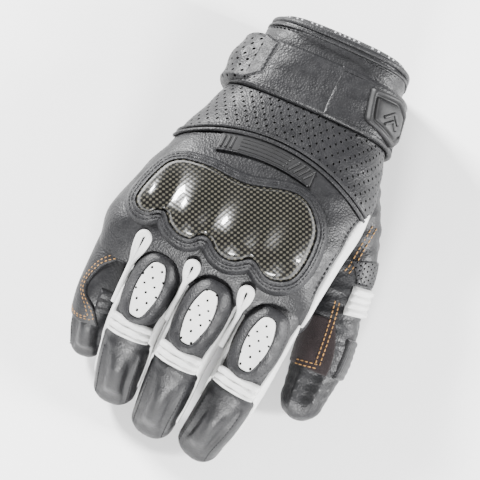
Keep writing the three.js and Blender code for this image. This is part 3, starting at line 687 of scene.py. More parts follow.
DARK = threaded("black_thread", (0.012, 0.012, 0.0135), 0.75)
PALE = threaded("white_thread", (0.6, 0.6, 0.62))
KNIT = knitted("stretch_knit", (0.003, 0.003, 0.0035), (0.014, 0.014, 0.016))
LINER = knitted("liner_knit", (0.005, 0.005, 0.0055), (0.014, 0.014, 0.016), 1.6)
LOOPS = knitted("loop_pile", (0.004, 0.004, 0.0045), (0.02, 0.02, 0.022), 0.7, 0.95)


# ---------------------------------------------------------------- which body a piece rides on, and a slot name
HAND_BLACK = dict(body="hand", slot="black_leather")
HAND_WHITE = dict(body="hand", slot="white_leather")
HAND_RUBBER = dict(body="hand", slot="moulded_rubber")
HAND_KNIT = dict(body="hand", slot="knit_and_hook")
FLAP_RUBBER = dict(body="strap_flap", slot="moulded_rubber")

# ---------------------------------------------------------------- the glove's driving lines
HAND = Barrel([
    (66, -36, 45.5, 31, 55, 4), (45, -44, 50.5, 35, 59, 6), (25, -51.5, 51, 39, 63, 11),
    (8, -57, 49, 42, 66.5, 20), (-6, -61.5, 47.5, 42.5, 67.5, 27), (-15, -62.5, 46.5, 42.5, 66.5, 30.5),
    (-22, -61.8, 46, 42.5, 62.5, 33), (-28, -60.3, 44.8, 43, 57, 35.5), (-33, -57.5, 42, 44, 51.5, 38.5),
])
CUFF = Barrel([
    (106.5, -28.5, 41.5, 29.5, 56, 2.5), (98, -31, 42.5, 29.5, 55, 2.5), (82, -34, 43.5, 30, 54, 3),
    (64, -36, 45.5, 31, 55, 4),
])
FINGERS = {
    "index": dict(x=(31, 27, 20.5), y=-62, z=(46, 40.5), wide=12.8, high=11.8, reach=30),
    "middle": dict(x=(1.5, -2.5, -4.5), y=-61.5, z=(49.5, 42.5), wide=12.6, high=12, reach=29.5),
    "ring": dict(x=(-27, -29, -28), y=-58, z=(47.5, 40.5), wide=12.4, high=11.8, reach=26),
    "pinky": dict(x=(-50.2, -51.4, -49.4), y=-50, z=(41, 32.5), wide=9.7, high=10, reach=20),
}
KNUCKLE_Y, TIP_Z = -12, 11


def finger_line(f):
    (x0, x1, x2), (z0, z1), y, w, h = f["x"], f["z"], f["y"], f["wide"], f["high"]
    slope = (z0 - z1) / (KNUCKLE_Y - y)
    tip = y - f["reach"]
    return [
        (x0, KNUCKLE_Y + 14, z0 + slope * 14, w, h),
        (x0, KNUCKLE_Y, z0, w, h),
        ((x0 + x1) / 2, (KNUCKLE_Y + y) / 2, (z0 + z1) / 2 + 0.8, w, h),
        (x1, y, z1, w * 0.97, h * 0.97),
        ((x1 + x2) / 2, y - f["reach"] * 0.62, z1 - (z1 - TIP_Z) * 0.46, w * 0.92, h * 0.92),
        (x2, tip, TIP_Z, w * 0.84, h * 0.84),
    ]


THUMB = Digit([
    (36, 48, 26.5, 15, 14.5), (41, 37, 26, 15.5, 15), (47, 23, 24.5, 15, 14.5), (51.5, 10, 22.5, 14.3, 13.8),
    (53.5, -4, 20, 13, 13), (55.5, -18, 17.5, 13.6, 12.6), (57, -34, 15.2, 13.6, 12.2),
    (57, -54, 12, 10.6, 10.8),
], 4)


def inside_hand(points):
    """Skin that runs on inside the hand, where the wearer's hand goes."""
    return (HAND.level(points, -3.0) < 1) & (points[:, 1] > -14)


# ---------------------------------------------------------------- hand leather, lining and palm
def end_cap(name, rings, look, **how):
    """A closing skin, from rings that run in from a rim to the rim's middle."""
    rows, cols = rings.shape[:2]
    row, col = np.meshgrid(np.arange(rows), np.arange(cols), indexing="ij")
    ahead = lambda u, v, g: rings[u.astype(int), v.astype(int)] - np.stack([0 * g, g, 0 * g], -1)
    patch(name, ahead, row, col, 0, look, close_cols=True, **how)


def hand_creases(y, a):
    folds = 0.35 * np.sin(0.33 * y + 0.05 * a) * np.sin(0.11 * a + 0.06 * y)
    return folds + 0.25 * np.sin(0.21 * y - 0.09 * a + 1.3)


rows = np.concatenate([np.linspace(66.5, -26, 100), np.linspace(-26.5, -33, 14)])
angle = np.linspace(0, 360, 145)[:-1]
U, V = rows[:, None] + 0 * angle, angle[None] + 0 * rows[:, None]
patch("hand_leather", HAND.wrap, U, V, hand_creases(U, V) * 0.8, BLACK, close_cols=True, **HAND_BLACK,
      stands_for=("back_panel", "palm_panel"))
rim = HAND.wrap(np.full(144, -33.0), angle)
front = np.array([rim * (1 - t) + (rim.mean(0) - vec(0, 3 * t, 0)) * t for t in (0, 0.3, 0.65, 0.98)])
end_cap("hand_front_web", front, SOFT, **HAND_BLACK)

WRIST_Y, STRAP_LOW_Y, STRAP_HIGH_Y = 66, 67.2, 94.1
LINER_END_Y = -8
HAND_LINER_INSET, CUFF_LINER_INSET = 2.6, 2.2
liner_rows = np.linspace(104.5, LINER_END_Y, 60)


def liner_surface(y, a, g):
    hand = HAND.wrap(np.minimum(y, WRIST_Y), a, g - HAND_LINER_INSET)
    cuff = CUFF.wrap(np.maximum(y, 64), a, g - CUFF_LINER_INSET)
    share = step(y, 62, 68)[..., None]
    p = hand * (1 - share) + cuff * share
    p[..., 1] = y
    return p


U, V = liner_rows[:, None] + 0 * angle, angle[None] + 0 * liner_rows[:, None]
patch("hand_liner", liner_surface, U, V, 0.25 * np.sin(V * 0.21) * np.sin(U * 0.3), LINER, close_cols=True,
      **HAND_KNIT, uv=np.stack([U, V * 0.6], -1))
inner = liner_surface(np.full(144, float(LINER_END_Y)), angle, 0 * angle)
end = np.array([inner * (1 - t) + inner.mean(0) * t - vec(0, 9 * t * (2 - t), 0)
                for t in (0, 0.25, 0.5, 0.75, 1)])
end_cap("liner_end", end, LINER, **HAND_KNIT)

# palm: a suede grip patch, its seams and the heel pad
PALM = loop_through([(-44, 8), (-20, 14), (10, 12), (26, 2), (28, -8), (8, -12), (-25, -12), (-50, -10),
                     (-54, 0)], 110)
palm_side = lambda x, y, g: HAND.wrap(y, 360 - np.degrees(np.arccos(np.clip(
    sgnpow((x - HAND.at(y)[0]) / HAND.at(y)[1], HAND_POWER / 2), -1, 1))), g)
blob("palm_grip_patch", palm_side, PALM, core_line(PALM, 14), (0, 0.03, 0.08, 0.2, 0.4, 0.7, 1),
     lambda d, x, y, t: 1.5 * dome(d / 1.6) - 0.6 * (t == 0), SUEDE, **HAND_BLACK)
ring = offset_rings(PALM, [-2.2, -3.8])
rows = [on(palm_side, closed(r)[::4], 1.55) for r in ring]
stitches("palm_grip_stitches", rows, DARK, **HAND_BLACK)
HEEL = loop_through([(-31, 56), (-8, 60), (20, 56), (22, 34), (-2, 24), (-28, 32)], 110)


def heel_surface(x, y, g):
    base = palm_side(x, y, 0 * g)
    base[..., 2] = base[..., 2] * (1 - np.clip(g, -0.1, 1)) + 0.4 * np.clip(g, -0.1, 1)
    return base


def heel_height(d, x, y, t):
    dimples = 0.03 * np.sin(0.45 * x) * np.sin(0.4 * y) * (t > 0.2)
    return dome(d / 7.0) + dimples - 0.05 * (t <= 0)


heel_shares = (-0.03, 0, 0.02, 0.06, 0.12, 0.2, 0.35, 0.55, 0.75, 1)
heel = blob("heel_pad_cushion", heel_surface, HEEL, core_line(HEEL, 13), heel_shares, heel_height, SUEDE,
            **HAND_BLACK, stands_for=("heel_pad",))
settled(heel)

# ---------------------------------------------------------------- knuckle guard and its trim
GUARD = loop_through([
    (-43.7, 17.1), (-47.6, 9.2), (-50.4, -0.7), (-50.6, -6.6), (-47.0, -10.4), (-42.6, -10.6), (-39.0, -7.6),
    (-35.3, -7.0), (-30.8, -11.7), (-25, -14.6), (-19, -14.4), (-15.6, -10.8), (-11.3, -10.6), (-4.4, -15.6),
    (2, -16.2), (7.0, -13.8), (10, -11.4), (13.8, -12.5), (19.6, -16.2), (25.8, -15.8), (31.2, -12.4),
    (33.8, -5.8), (34.6, 5.3), (33.2, 14), (29.5, 19.8), (24.3, 24.6), (17.3, 26.7), (10.2, 25.8),
    (2.3, 23.4), (-5.6, 21.4), (-14.5, 21.3), (-24.1, 22.2), (-32.8, 21.6), (-38.8, 20.4),
], 240)
KNUCKLES = [(24.5, -3.0, 9.5, 9, 4.0), (-0.5, -5.0, 9, 8.5, 4.4), (-23.8, -4.0, 8, 8, 4.2),
            (-43, -1.5, 6, 7.5, 3.2)]


def guard_height(d, x, y, t):
    g = 2.3 + 3.0 * dome(d / 3.4)
    swell = 0 * x
    for at_x, at_y, wide, long, tall in KNUCKLES:
        r = ((x - at_x) / wide) ** 2 + ((y - at_y) / np.where(y > at_y, long * 1.7, long * 0.95)) ** 2
        swell = swell + (tall * np.exp(-(r ** 1.2) * 0.9)) ** 3
    swell = np.cbrt(swell)
    rear = 1.4 * bell(y, 17, 9) * bell(x, -8, 44)
    return g + swell * np.clip(d / 2.5, 0, 1) + rear * np.clip(d / 3, 0, 1) - 0.8 * (t == 0)


shares = np.concatenate([[0, 0.015, 0.03, 0.05, 0.08], np.linspace(0.12, 1, 34)])
blob("knuckle_guard_shell", HAND.top, GUARD, core_line(GUARD, 19), shares, guard_height, CARBON,
     body="hand", slot="carbon_guard", stands_for=("knuckle_guard",))
offsets = np.array([-1.0, -0.7, -0.3, 0.0, 0.3, 0.6, 0.9, 1.2, 1.5, 1.8, 2.1, 2.5, 2.8, 3.1, 3.5, 4.0, 4.6,
                    5.4])
edge_rings = offset_rings(GUARD, offsets, 0.2)
TRIM = curve_of((-1.0, 2.6), (-0.7, 4.2), (-0.3, 4.9), (0.3, 4.9), (0.9, 4.3), (1.3, 3.6), (1.8, 3.9),
                (2.3, 3.9), (2.7, 3.3), (3.0, 3.0), (3.5, 3.1), (4.0, 2.5), (4.6, 1.2), (5.4, -0.5))
G = TRIM(offsets)[:, None] + 0.12 * np.sin(np.arange(240) * 0.9)[None] * window(offsets, 0, 4, 1)[:, None]
patch("guard_trim_leather", HAND.top, edge_rings[..., 0], edge_rings[..., 1], G, SOFT, close_cols=True,
      **HAND_BLACK, stands_for=("guard_trim", "knuckle_foam"))
lines = offset_rings(GUARD, [1.3, 2.9], 0.2)
rows = [on(HAND.top, closed(r)[::3], g) for r, g in zip(lines, (3.75, 3.2))]
stitches("guard_trim_stitches", rows, DARK, pitch=2.1, length=1.6, thick=0.27, **HAND_BLACK)

# ---------------------------------------------------------------- wrist band, ridge, crest and side stripe
ridge_y = lambda x: 47 - 0.0058 * (x + 2) ** 2


def hand_x(y, angle):
    return HAND.wrap(y, angle)[..., 0]


band_angles = np.linspace(-4, 184, 90)
low_edge = np.array([ridge_y(hand_x(np.array(40.0), np.array(a))) + 1.0 for a in band_angles])
strip("wrist_band_leather", HAND.wrap, (-4, 184), lambda a: np.interp(a, band_angles, low_edge),
      lambda a: 67.5 + 0 * a, PERFORATED, tall=1.3, soft=1.2, rows=110, cols=26, swap=True, **HAND_BLACK,
      stands_for=("wrist_band",), extra=lambda u, v, p, q: 0.25 * np.sin(0.35 * v + 0.03 * u))
for name, shift, radius in (("ridge_piping_upper", 1.3, 1.15), ("ridge_piping_lower", -1.2, 0.95)):
    xs = np.linspace(-49, 50.2, 60)
    path, normals = on(HAND.top, [(x, ridge_y(x) + shift) for x in xs], 0.9)
    how = dict(stands_for=("ridge_piping",)) if shift > 0 else {}
    sweep(name, path, normals, radius, radius * 0.95, SOFT, sides=12, **HAND_BLACK, **how)
crest_low = lambda x: ridge_y(x) - 11.5
crest_high = lambda x: ridge_y(x) - 2.6
strip("crest_patch_plate", HAND.top, (-27, 21), crest_low, crest_high, CREST, tall=0.9, soft=0.9, rows=60,
      cols=22, **HAND_RUBBER, stands_for=("crest_patch",))


def bar(name, points, wide, high, look, surface=HAND.top, g=0.9, body="hand", slot="moulded_rubber",
        count=None):
    path, normals = on(surface, points, g, count)
    return sweep(name, path, normals, wide, high, look, sides=10, body=body, slot=slot)


for i in range(3):
    x = -25.2 + 2.3 * i
    bar(f"crest_bar_{i}", [(x, crest_low(x) + 1.2), (x + 0.2, crest_high(x) - 1.0)], 0.6, 0.55, CREST)
for i in range(4):
    x = 8.2 + 2.7 * i
    bar(f"crest_slant_{i}", [(x, crest_low(x) + 1.2), (x + 4.2, crest_high(x + 4.2) - 1.4)], 0.5, 0.5, CREST)
for i in range(4):
    rise = 1.7 + 1.9 * i
    bar(f"crest_line_{i}", [(x, crest_low(x) + rise) for x in np.linspace(-17, 6 + i * 0.9, 12)], 0.42,
        0.42, CREST)
bar("crest_border_low", [(x, crest_low(x) - 0.2) for x in np.linspace(-27, 20, 24)], 0.5, 0.7, SOFT,
    slot="black_leather")

stripe_top = curve_of((38.5, 10), (33, 19), (25, 26), (10, 25), (-6, 24), (-18, 22), (-28, 18))
stripe_low = curve_of((38.5, 9), (33, 6), (25, 4), (10, 8), (-6, 11), (-18, 13), (-28, 15))
strip("side_stripe_leather", HAND.wrap, (38.5, -28), stripe_low, stripe_top, WHITE, tall=1.3, soft=1.4,
      rows=70, cols=16, **HAND_WHITE, stands_for=("side_stripe",))
rows = [on(HAND.wrap, [(y, stripe_top(y) + 3.2) for y in np.linspace(34, -20, 14)], 0.25)]
stitches("side_stripe_stitches", rows, DARK, **HAND_BLACK)

# ---------------------------------------------------------------- cuff, rim and lining
cuff_rows = np.linspace(106, 64, 60)
U, V = cuff_rows[:, None] + 0 * angle, angle[None] + 0 * cuff_rows[:, None]
folds = 0.35 * np.sin(0.5 * U + 0.04 * V) * np.sin(0.05 * V) + 0.2 * np.sin(0.9 * U - 0.08 * V)
patch("cuff_leather", CUFF.wrap, U, V, folds, BLACK, close_cols=True, **HAND_BLACK,
      stands_for=("cuff_shell",))


def around(y, g, count=180):
    a = np.linspace(0, 360, count + 1)[:-1]
    P = CUFF.wrap(np.full(count, float(y)), a, np.full(count, float(g)))
    return P, unit(CUFF.wrap(np.full(count, float(y)), a, np.full(count, g + 1.0)) - P)


P, N = around(105.6, -0.6)
sweep("cuff_rim_binding", P, N, 1.5, 1.9, SOFT, sides=14, closed=True, **HAND_BLACK,
      stands_for=("cuff_binding",))
P, N = around(102.6, 0.35)
sweep("cuff_rim_cord", P, N, 0.75, 0.75, SOFT, sides=10, closed=True, **HAND_BLACK)
P, N = around(107.0, -2.7)
sweep("rim_tape", P, N, 2.1, 0.8, KNIT, sides=12, closed=True, **HAND_KNIT)
P, N = around(108.2, -2.3, 220)
marks = [(P[k:k + 9], N[k:k + 9] + vec(0, 0.8, 0)) for k in range(2, 210, 12)]
stitches("rim_tape_dashes", marks, PALE, pitch=2.3, length=1.5, thick=0.62, **HAND_KNIT)
P, N = around(101.0, 0.25)
stitches("cuff_rim_stitches", [(closed(P), closed(N))], DARK, **HAND_BLACK)

# ---------------------------------------------------------------- wrist strap, keeper and pull tab
LIFT = 2.85
wrap_angle = lambda x, y: float(np.degrees(np.arccos(np.clip(sgnpow(
    (x - CUFF.at(y)[0]) / (CUFF.at(y)[1] + LIFT), HAND_POWER / 2), -1, 1))))
FLAP = wrap_angle(12, 78)
swapped = lambda a, y, g: CUFF.wrap(y, a, g)


def strap_wave(u, v, p, q):
    return 0.4 * np.sin(0.16 * p + 0.2 * q) * np.sin(0.09 * p) + 0.15 * np.sin(0.7 * q + 0.1 * p)


strip("strap_band_leather", swapped, (FLAP - 2, 196), lambda a: 67.3 + 0 * a, lambda a: 94 + 0 * a, BLACK,
      tall=3.5, soft=2.0, rows=120, cols=30, lift=0.6, closed=True, extra=strap_wave, **HAND_BLACK,
      stands_for=("strap_band",))
strip("strap_flap_leather", swapped, (-22, FLAP + 1), lambda a: STRAP_LOW_Y + 0 * a,
      lambda a: STRAP_HIGH_Y + 0 * a, BLACK, tall=2.3, soft=1.8, rows=70, cols=30, lift=LIFT - 1.0,
      closed=True, extra=strap_wave, body="strap_flap", slot="black_leather",
      stands_for=("strap_flap_panel",))
for name, body, a0, a1 in (("strap_band_stitches", "hand", FLAP + 2, 150),
                           ("strap_flap_stitches", "strap_flap", -4, FLAP)):
    rows = [on(swapped, [(a, y) for a in np.linspace(a0, a1, 12)],
               0.6 + 3.4 if body == "hand" else LIFT + 1.3)
            for y in (69.6, 91.8)]
    stitches(name, rows, DARK, body=body, slot="black_leather")
strip("loop_patch_pile", swapped, (-30, 48), lambda a: 69.5 + 0 * a, lambda a: 89 + 0 * a, LOOPS, tall=1.1,
      soft=0.7, rows=40, cols=20, **HAND_KNIT, stands_for=("loop_patch",))
strip("hook_patch_face", swapped, (-18, 42), lambda a: 70 + 0 * a, lambda a: 88.6 + 0 * a, LOOPS, tall=0.5,
      soft=0.5, rows=40, cols=20, lift=LIFT - 1.6, closed=True, body="strap_flap", slot="knit_and_hook",
      stands_for=("hook_patch",))

keeper_bulge = lambda u, v, p, q: 2.6 * window(u, 128, 200, 22) * (0.7 + 0.3 * np.sin(0.35 * (v - 60)))
strip("strap_keeper_fold", swapped, (127, 204), lambda a: 67.8 + 1.5 * bell(a, 127, 14),
      lambda a: 95.5 - 2.0 * bell(a, 127, 12), PERFORATED, tall=3.2, soft=2.6, rows=60, cols=30, lift=2.0,
      closed=True, extra=keeper_bulge, **HAND_BLACK, stands_for=("strap_keeper",))
strip("strap_keeper_end", swapped, (118, 137), lambda a: 68.6 + 0.35 * (137 - a),
      lambda a: 95 - 0.16 * (137 - a), SOFT, tall=1.8, soft=1.2, rows=24, cols=30, lift=3.4, closed=True,
      **HAND_BLACK)
rows = [on(swapped, [(120.2, 75.5), (120.2, 91.5)], 5.25), on(swapped, [(122, 73.5), (135, 69.8)], 5.25),
        on(swapped, [(122, 92), (135, 94)], 5.25)]
stitches("strap_keeper_stitches", rows, DARK, **HAND_BLACK)

# the pull tab lies on a plane tipped towards the thumb's side, and is pressed down onto the strap
TILT, SPIN = math.radians(48), math.radians(-4)
AXES = Matrix.Rotation(TILT, 3, "Y") @ Matrix.Rotation(SPIN, 3, "Z")
AX, BX, NX = (np.array(AXES.col[k]) for k in range(3))
TAB_AT = vec(36, 80, 46)


def tab_surface(a, b, g):
    a, b, g = np.broadcast_arrays(np.asarray(a, float), b, g)
    points = TAB_AT + a[..., None] * AX + b[..., None] * BX
    return CUFF.onto(points, NX + 0 * points, 5.2) + NX * g[..., None]


corners = np.array([(-14, 9), (1, 12), (12, 8), (16, -4), (9, -11), (-10, -7)], float)
rounded = np.vstack([np.array([c * 0.9 + p * 0.1, c, c * 0.9 + n * 0.1]) for p, c, n in
                     zip(np.roll(corners, 1, 0), corners, np.roll(corners, -1, 0))])
TAB = resample(closed(rounded), 121)[:-1]
for _ in range(3):
    TAB = TAB * 0.5 + (np.roll(TAB, 1, 0) + np.roll(TAB, -1, 0)) * 0.25
tab_steps = (0, 0.01, 0.04, 0.08, 0.16, 0.22, 0.26, 0.30, 0.36, 0.40, 0.5, 0.7, 0.85, 1)
tab_rise = curve_of((0, 0), (0.01, 1.2), (0.04, 2.1), (0.08, 2.5), (0.16, 2.5), (0.22, 2.3), (0.26, 1.4),
                    (0.30, 1.2), (0.36, 1.3), (0.40, 2.2), (0.5, 2.5), (0.7, 2.6), (0.85, 2.6), (1, 2.6))
blob("pull_tab_rubber", tab_surface, TAB, core_line(TAB, 9.5), tab_steps,
     lambda d, x, y, t: -1.4 + tab_rise(t) * 1.15, RUBBER, under=-1.4, **FLAP_RUBBER,
     stands_for=("pull_tab",))
chevrons = [[(-4.2, -1.2), (0.2, 3.4), (5.2, -0.4)], [(-2.6, -4.0), (1.2, -0.2), (5.0, -3.4)]]
for i, points in enumerate(chevrons):
    sharp = np.vstack([resample(points[:2], 8), resample(points[1:], 8)[1:]])
    path = tab_surface(sharp[:, 0], sharp[:, 1], 1.75 + 0 * sharp[:, 0])
    how = dict(stands_for=("tab_emblem",)) if i == 0 else {}
    sweep(f"tab_chevron_{i}", path, NX + 0 * path, 0.85, 0.7, RUBBER, sides=8, **FLAP_RUBBER, **how)

# ---------------------------------------------------------------- fingers
PAD_LONG = {"index": 34.0, "middle": 34.5, "ring": 32.5}


def finger(name, f):
    tube = Digit(finger_line(f), 1)
    bend = tube.row_s[3]
    middle = bend * 0.5
    knuckle = vec(f["x"][0], KNUCKLE_Y, f["z"][0])
    joint = vec(f["x"][1], f["y"], f["z"][1])
    along = tube.frame(bend)[1]
    root_bend = ("hand", f"{name}_proximal", knuckle + vec(0, 5, 0), knuckle - vec(0, 8, 0))
    tip_bend = (f"{name}_proximal", f"{name}_tip", joint - along * 7, joint + along * 7)
    is_pinky = name == "pinky"
    turn = np.linspace(0, 360, 65)[:-1]

    # leather of the root and of the tip, which meet under the pad
    s = np.concatenate([np.linspace(-12, middle - 1, 30), [middle, middle + 0.6]])
    U, V = s[:, None] + 0 * turn, turn[None] + 0 * s[:, None]
    G = 0.25 * np.sin(0.5 * U + 0.03 * V) * np.sin(0.05 * V + 1) - 0.9 * step(U, middle, middle + 0.6)
    patch(f"{name}_root_leather", tube.wrap, U, V, G, BLACK, close_cols=True, cull=inside_hand,
          between=root_bend, slot="black_leather", stands_for=(f"{name}_shell",))
    end = tube.end
    long = end - bend
    s = np.concatenate([np.linspace(middle - 1, end, 80),
                        end + tube.frame(end)[5] * np.sin(np.linspace(0.08, 1, 14) * 1.57)])
    s[-14:] = end + (s[-14:] - end) * 0.9999
    U, V = s[:, None] + 0 * turn, turn[None] + 0 * s[:, None]
    a = np.cos(np.radians(V)) * tube.frame(U)[4]
    top = np.sin(np.radians(V)) > 0
    from_bend = U - bend
    lateral = 6.9 - 1.2 * step(from_bend, long * 0.2, long * 0.8)
    seam = top * bell(np.abs(a), lateral, 0.9) * window(from_bend, 6, long + 3, 4)
    nail = top * (2.2 * np.exp(-((np.abs(a) / 3.0) ** 3)) - 0.7 * bell(np.abs(a), 5.0, 1.4))
    nail = nail * window(from_bend, long * 0.2, long * 0.92, long * 0.24)
    cheeks = top * 0.5 * bell(np.abs(a), 8.4, 1.8) * window(from_bend, 6, long + 3, 4)
    under = ~top * 0.7 * bell(np.abs(a), 8.2, 0.7) * window(from_bend, 4, long, 3)
    wrinkle = 0.25 * np.sin(1.15 * U + 0.02 * V) * bell(from_bend, 4, 4)
    G = nail + cheeks - 0.6 * seam - under + wrinkle
    patch(f"{name}_tip_leather", tube.wrap, U, V, G, TIPS, close_cols=True, between=tip_bend,
          slot="black_leather", stands_for=(f"{name}_tip_shell",))
    seam_s = np.linspace(bend + 9, end + 1, 14)
    rows = []
    for side in (-1, 1):
        wide = tube.frame(seam_s)[4]
        off = 6.9 - 1.2 * step(seam_s - bend, long * 0.2, long * 0.8) + 1.5
        ang = np.degrees(np.arccos(np.clip(side * off / wide, -1, 1)))
        rows.append(on(tube.wrap, np.stack([seam_s, ang], 1), 0.45))
        rows.append(on(tube.wrap, [(v, 270 + side * 41) for v in np.linspace(bend + 6, end - 2, 12)], 0.1))
    stitches(f"{name}_tip_stitches", rows, DARK, pitch=2.2, length=1.6, thick=0.24, between=tip_bend,
             slot="black_leather")
    strip(f"{name}_grip", tube.wrap, (bend + 6, end + 4), lambda u: 270 - 33 + 0 * u,
          lambda u: 270 + 33 + 0 * u, SUEDE, tall=0.9, soft=1.2, rows=30, cols=14, between=tip_bend,
          slot="black_leather")

    # white gussets down the sides, wider beside the bend
    tip_len = end - bend
    flare = curve_of((8, 14), (16, 22), (bend - 20, 28), (bend - 12, 33), (bend - 5, 39), (bend + 1, 40),
                     (bend + 4, 20), (bend + tip_len * 0.35, 2), (bend + tip_len * 0.55, 5),
                     (bend + tip_len * 0.74, 15), (bend + tip_len * 0.95, -8))
    for label, side in (("outer", 1), ("inner", -1)):
        if is_pinky and label == "outer":
            label = "inner"
        elif is_pinky:
            continue
        hi = (lambda u: flare(u)) if side > 0 else (lambda u: 180 + 24 - 0 * u)
        lo = (lambda u: -24 + 0 * u) if side > 0 else (lambda u: 180 - flare(u))
        share = 0.4 if (name, label) == ("index", "inner") else 0.92
        strip(f"{name}_gusset_{label}_leather", tube.wrap, (8, bend + tip_len * share), lo, hi, WHITE,
              tall=0.95, soft=1.0, rows=70, cols=14, between=tip_bend, slot="white_leather",
              stands_for=(f"{name}_gusset_{label}",))
    if is_pinky:
        return tube, bend, tip_bend

    # padded top of the first segment with its perforated insert
    long = PAD_LONG[name]
    start = bend - 3.6 - long
    half = 12.0
    shape = [(0, 0), (0.56, 0.03), (0.9, 0.18), (1, 0.40), (1, 0.62), (0.88, 0.82), (0.66, 0.95), (0, 1.0)]
    outline = [(half * x, start + long * y) for x, y in shape]
    outline += [(-x, y) for x, y in outline[-2:0:-1]]
    outline = loop_through(outline, 132)
    inset_long, inset_half = 26.0, 6.0
    mid_s = start + long * 0.5 + 0.8
    hexa = [(0, -0.5), (0.5, -0.47), (0.9, -0.25), (1, 0), (0.93, 0.2), (0.5, 0.47), (0, 0.5)]
    insert = [(inset_half * x, mid_s + inset_long * y) for x, y in hexa]
    insert += [(-x, y) for x, y in insert[-2:0:-1]]
    insert = loop_through(insert, 132)
    window_ring = offset_rings(insert, [0.15])[0]
    angles_of = lambda r: np.unwrap(np.arctan2(r[:, 1] - mid_s, r[:, 0] / half * long / 2))
    order = np.argsort(np.mod(angles_of(window_ring), 2 * math.pi))
    around_out = np.mod(angles_of(outline), 2 * math.pi)
    ring_sorted = window_ring[order]
    ang_sorted = np.mod(angles_of(window_ring), 2 * math.pi)[order]
    core = np.stack([np.interp(around_out, ang_sorted, ring_sorted[:, k], period=2 * math.pi)
                     for k in (0, 1)], 1)

    def puff(d, x, y, t):
        g = 4.5 * dome(np.minimum(t * 1.15, 1)) - 1.0 * (t == 0)
        pucker = (0.12 * np.sin(np.arctan2(y - mid_s, x * 1.6) * 9 + 0.3 * y)
                  + 0.22 * np.sin(0.35 * x + 0.3 * y))
        return g + pucker * window(t, 0.05, 0.98, 0.3) - 0.5 * step(t, 0.95, 1)

    shares = np.concatenate([[0, 0.02, 0.05], np.linspace(0.1, 1, 22)])
    pad = blob(f"{name}_pad_leather", tube.dorsal, outline, core, shares, puff, SOFT,
               body=f"{name}_proximal", slot="black_leather",
               stands_for=(f"{name}_pad_panel", f"{name}_pad_foam"))
    settled(pad)
    swell = lambda d, x, y, t: 3.4 + 0.9 * dome(d / 1.6) + 0.5 * t - 1.2 * (t == 0)
    blob(f"{name}_pad_window", tube.dorsal, insert, core_line(insert, 5.0),
         (0, 0.03, 0.08, 0.16, 0.28, 0.42, 0.6, 0.8, 1), swell, INSERT, body=f"{name}_proximal",
         slot="white_leather", stands_for=(f"{name}_pad_insert",))
    rim = outline * 0.8 + core * 0.2
    stitches(f"{name}_pad_stitches", [on(tube.dorsal, closed(rim)[::3], 4.5 * dome(0.23) - 0.05)], DARK,
             pitch=2.0, length=1.4, thick=0.22, body=f"{name}_proximal", slot="black_leather")

    # ribbed stretch panel over the bend
    def ribs(u, v, p, q):
        t = (u - (bend - 4.4)) / 6.6
        return 0.3 * np.sin(0.25 * v) - 1.5 * bell(t, 0.42, 0.07) - 1.3 * bell(t, 0.78, 0.06)

    strip(f"{name}_stretch_ribs", tube.wrap, (bend - 4.4, bend + 2.2), lambda u: 42.5 + 0 * u,
          lambda u: 137.5 + 0 * u, WHITE, tall=2.5, soft=1.3, rows=60, cols=24, extra=ribs,
          between=tip_bend, slot="white_leather", stands_for=(f"{name}_accordion",))
    return tube, bend, tip_bend


TUBES = {name: finger(name, f) for name, f in FINGERS.items()}

# white folded ribbons over the crotches of the fingers
CROTCHES = {
    "ring": [(-39.4, -18.6, 63.4), (-39.9, -24, 60.5), (-40.8, -31, 55.5), (-41.6, -39, 51.0),
             (-41.8, -52, 46.5)],
    "middle": [(-13.1, -22.4, 64.6), (-13.4, -28, 60.8), (-14.2, -36, 55.2), (-15.2, -43, 52.0),
               (-15.8, -50, 49.0)],
    "index": [(14.6, -23.2, 63.6), (14.6, -29, 60.0), (14.6, -36, 54.8), (13.6, -43, 51.0),
              (12.6, -51, 48.0)],
}
LOOP_LONG = {"ring": 16, "middle": 10.5, "index": 11.5}
for name, points in CROTCHES.items():
    spine = resample(catmull(points, 60), 90)
    run = np.concatenate([[0], np.cumsum(np.linalg.norm(np.diff(spine, axis=0), axis=1))])
    long = LOOP_LONG[name]
    half = 2.15 * np.sqrt(np.clip(1 - (np.clip(2.6 - run, 0, 2.6) / 2.6) ** 2, 0, 1))
    half = np.where(run > 2.6, 2.15 - 1.75 * step(run, 3.0, long + 1), half)
    keep = run < long + 2
    left = spine[keep] - np.outer(half[keep], vec(1, 0, 0))
    right = spine[keep] + np.outer(half[keep], vec(1, 0, 0))
    path = np.vstack([left[::-1], right[1:]])
    path = resample(path, 90)
    band = 1.75 - 0.75 * step(np.abs(np.linspace(-1, 1, 90)), 0.55, 1)
    normals = np.tile(unit(vec(0, -0.42, 1)), (len(path), 1))
    knuckle = vec(FINGERS[name]["x"][0], KNUCKLE_Y, FINGERS[name]["z"][0])
    follow = ("hand", f"{name}_proximal", knuckle + vec(0, -6, 0), knuckle - vec(0, 20, 0))
    sweep(f"{name}_ribbon_loop", path, normals, band, 1.5, WHITE, sides=14, between=follow,
          slot="white_leather")
    tail = spine[run > long - 3]
    wide = np.interp(np.arange(len(tail)), [0, len(tail) * 0.4, len(tail) - 1], [1.6, 1.2, 1.5])
    sweep(f"{name}_ribbon_tail", tail, np.tile(unit(vec(0, -0.42, 1)), (len(tail), 1)), wide, 1.5, WHITE,
          sides=12, between=follow, slot="white_leather")

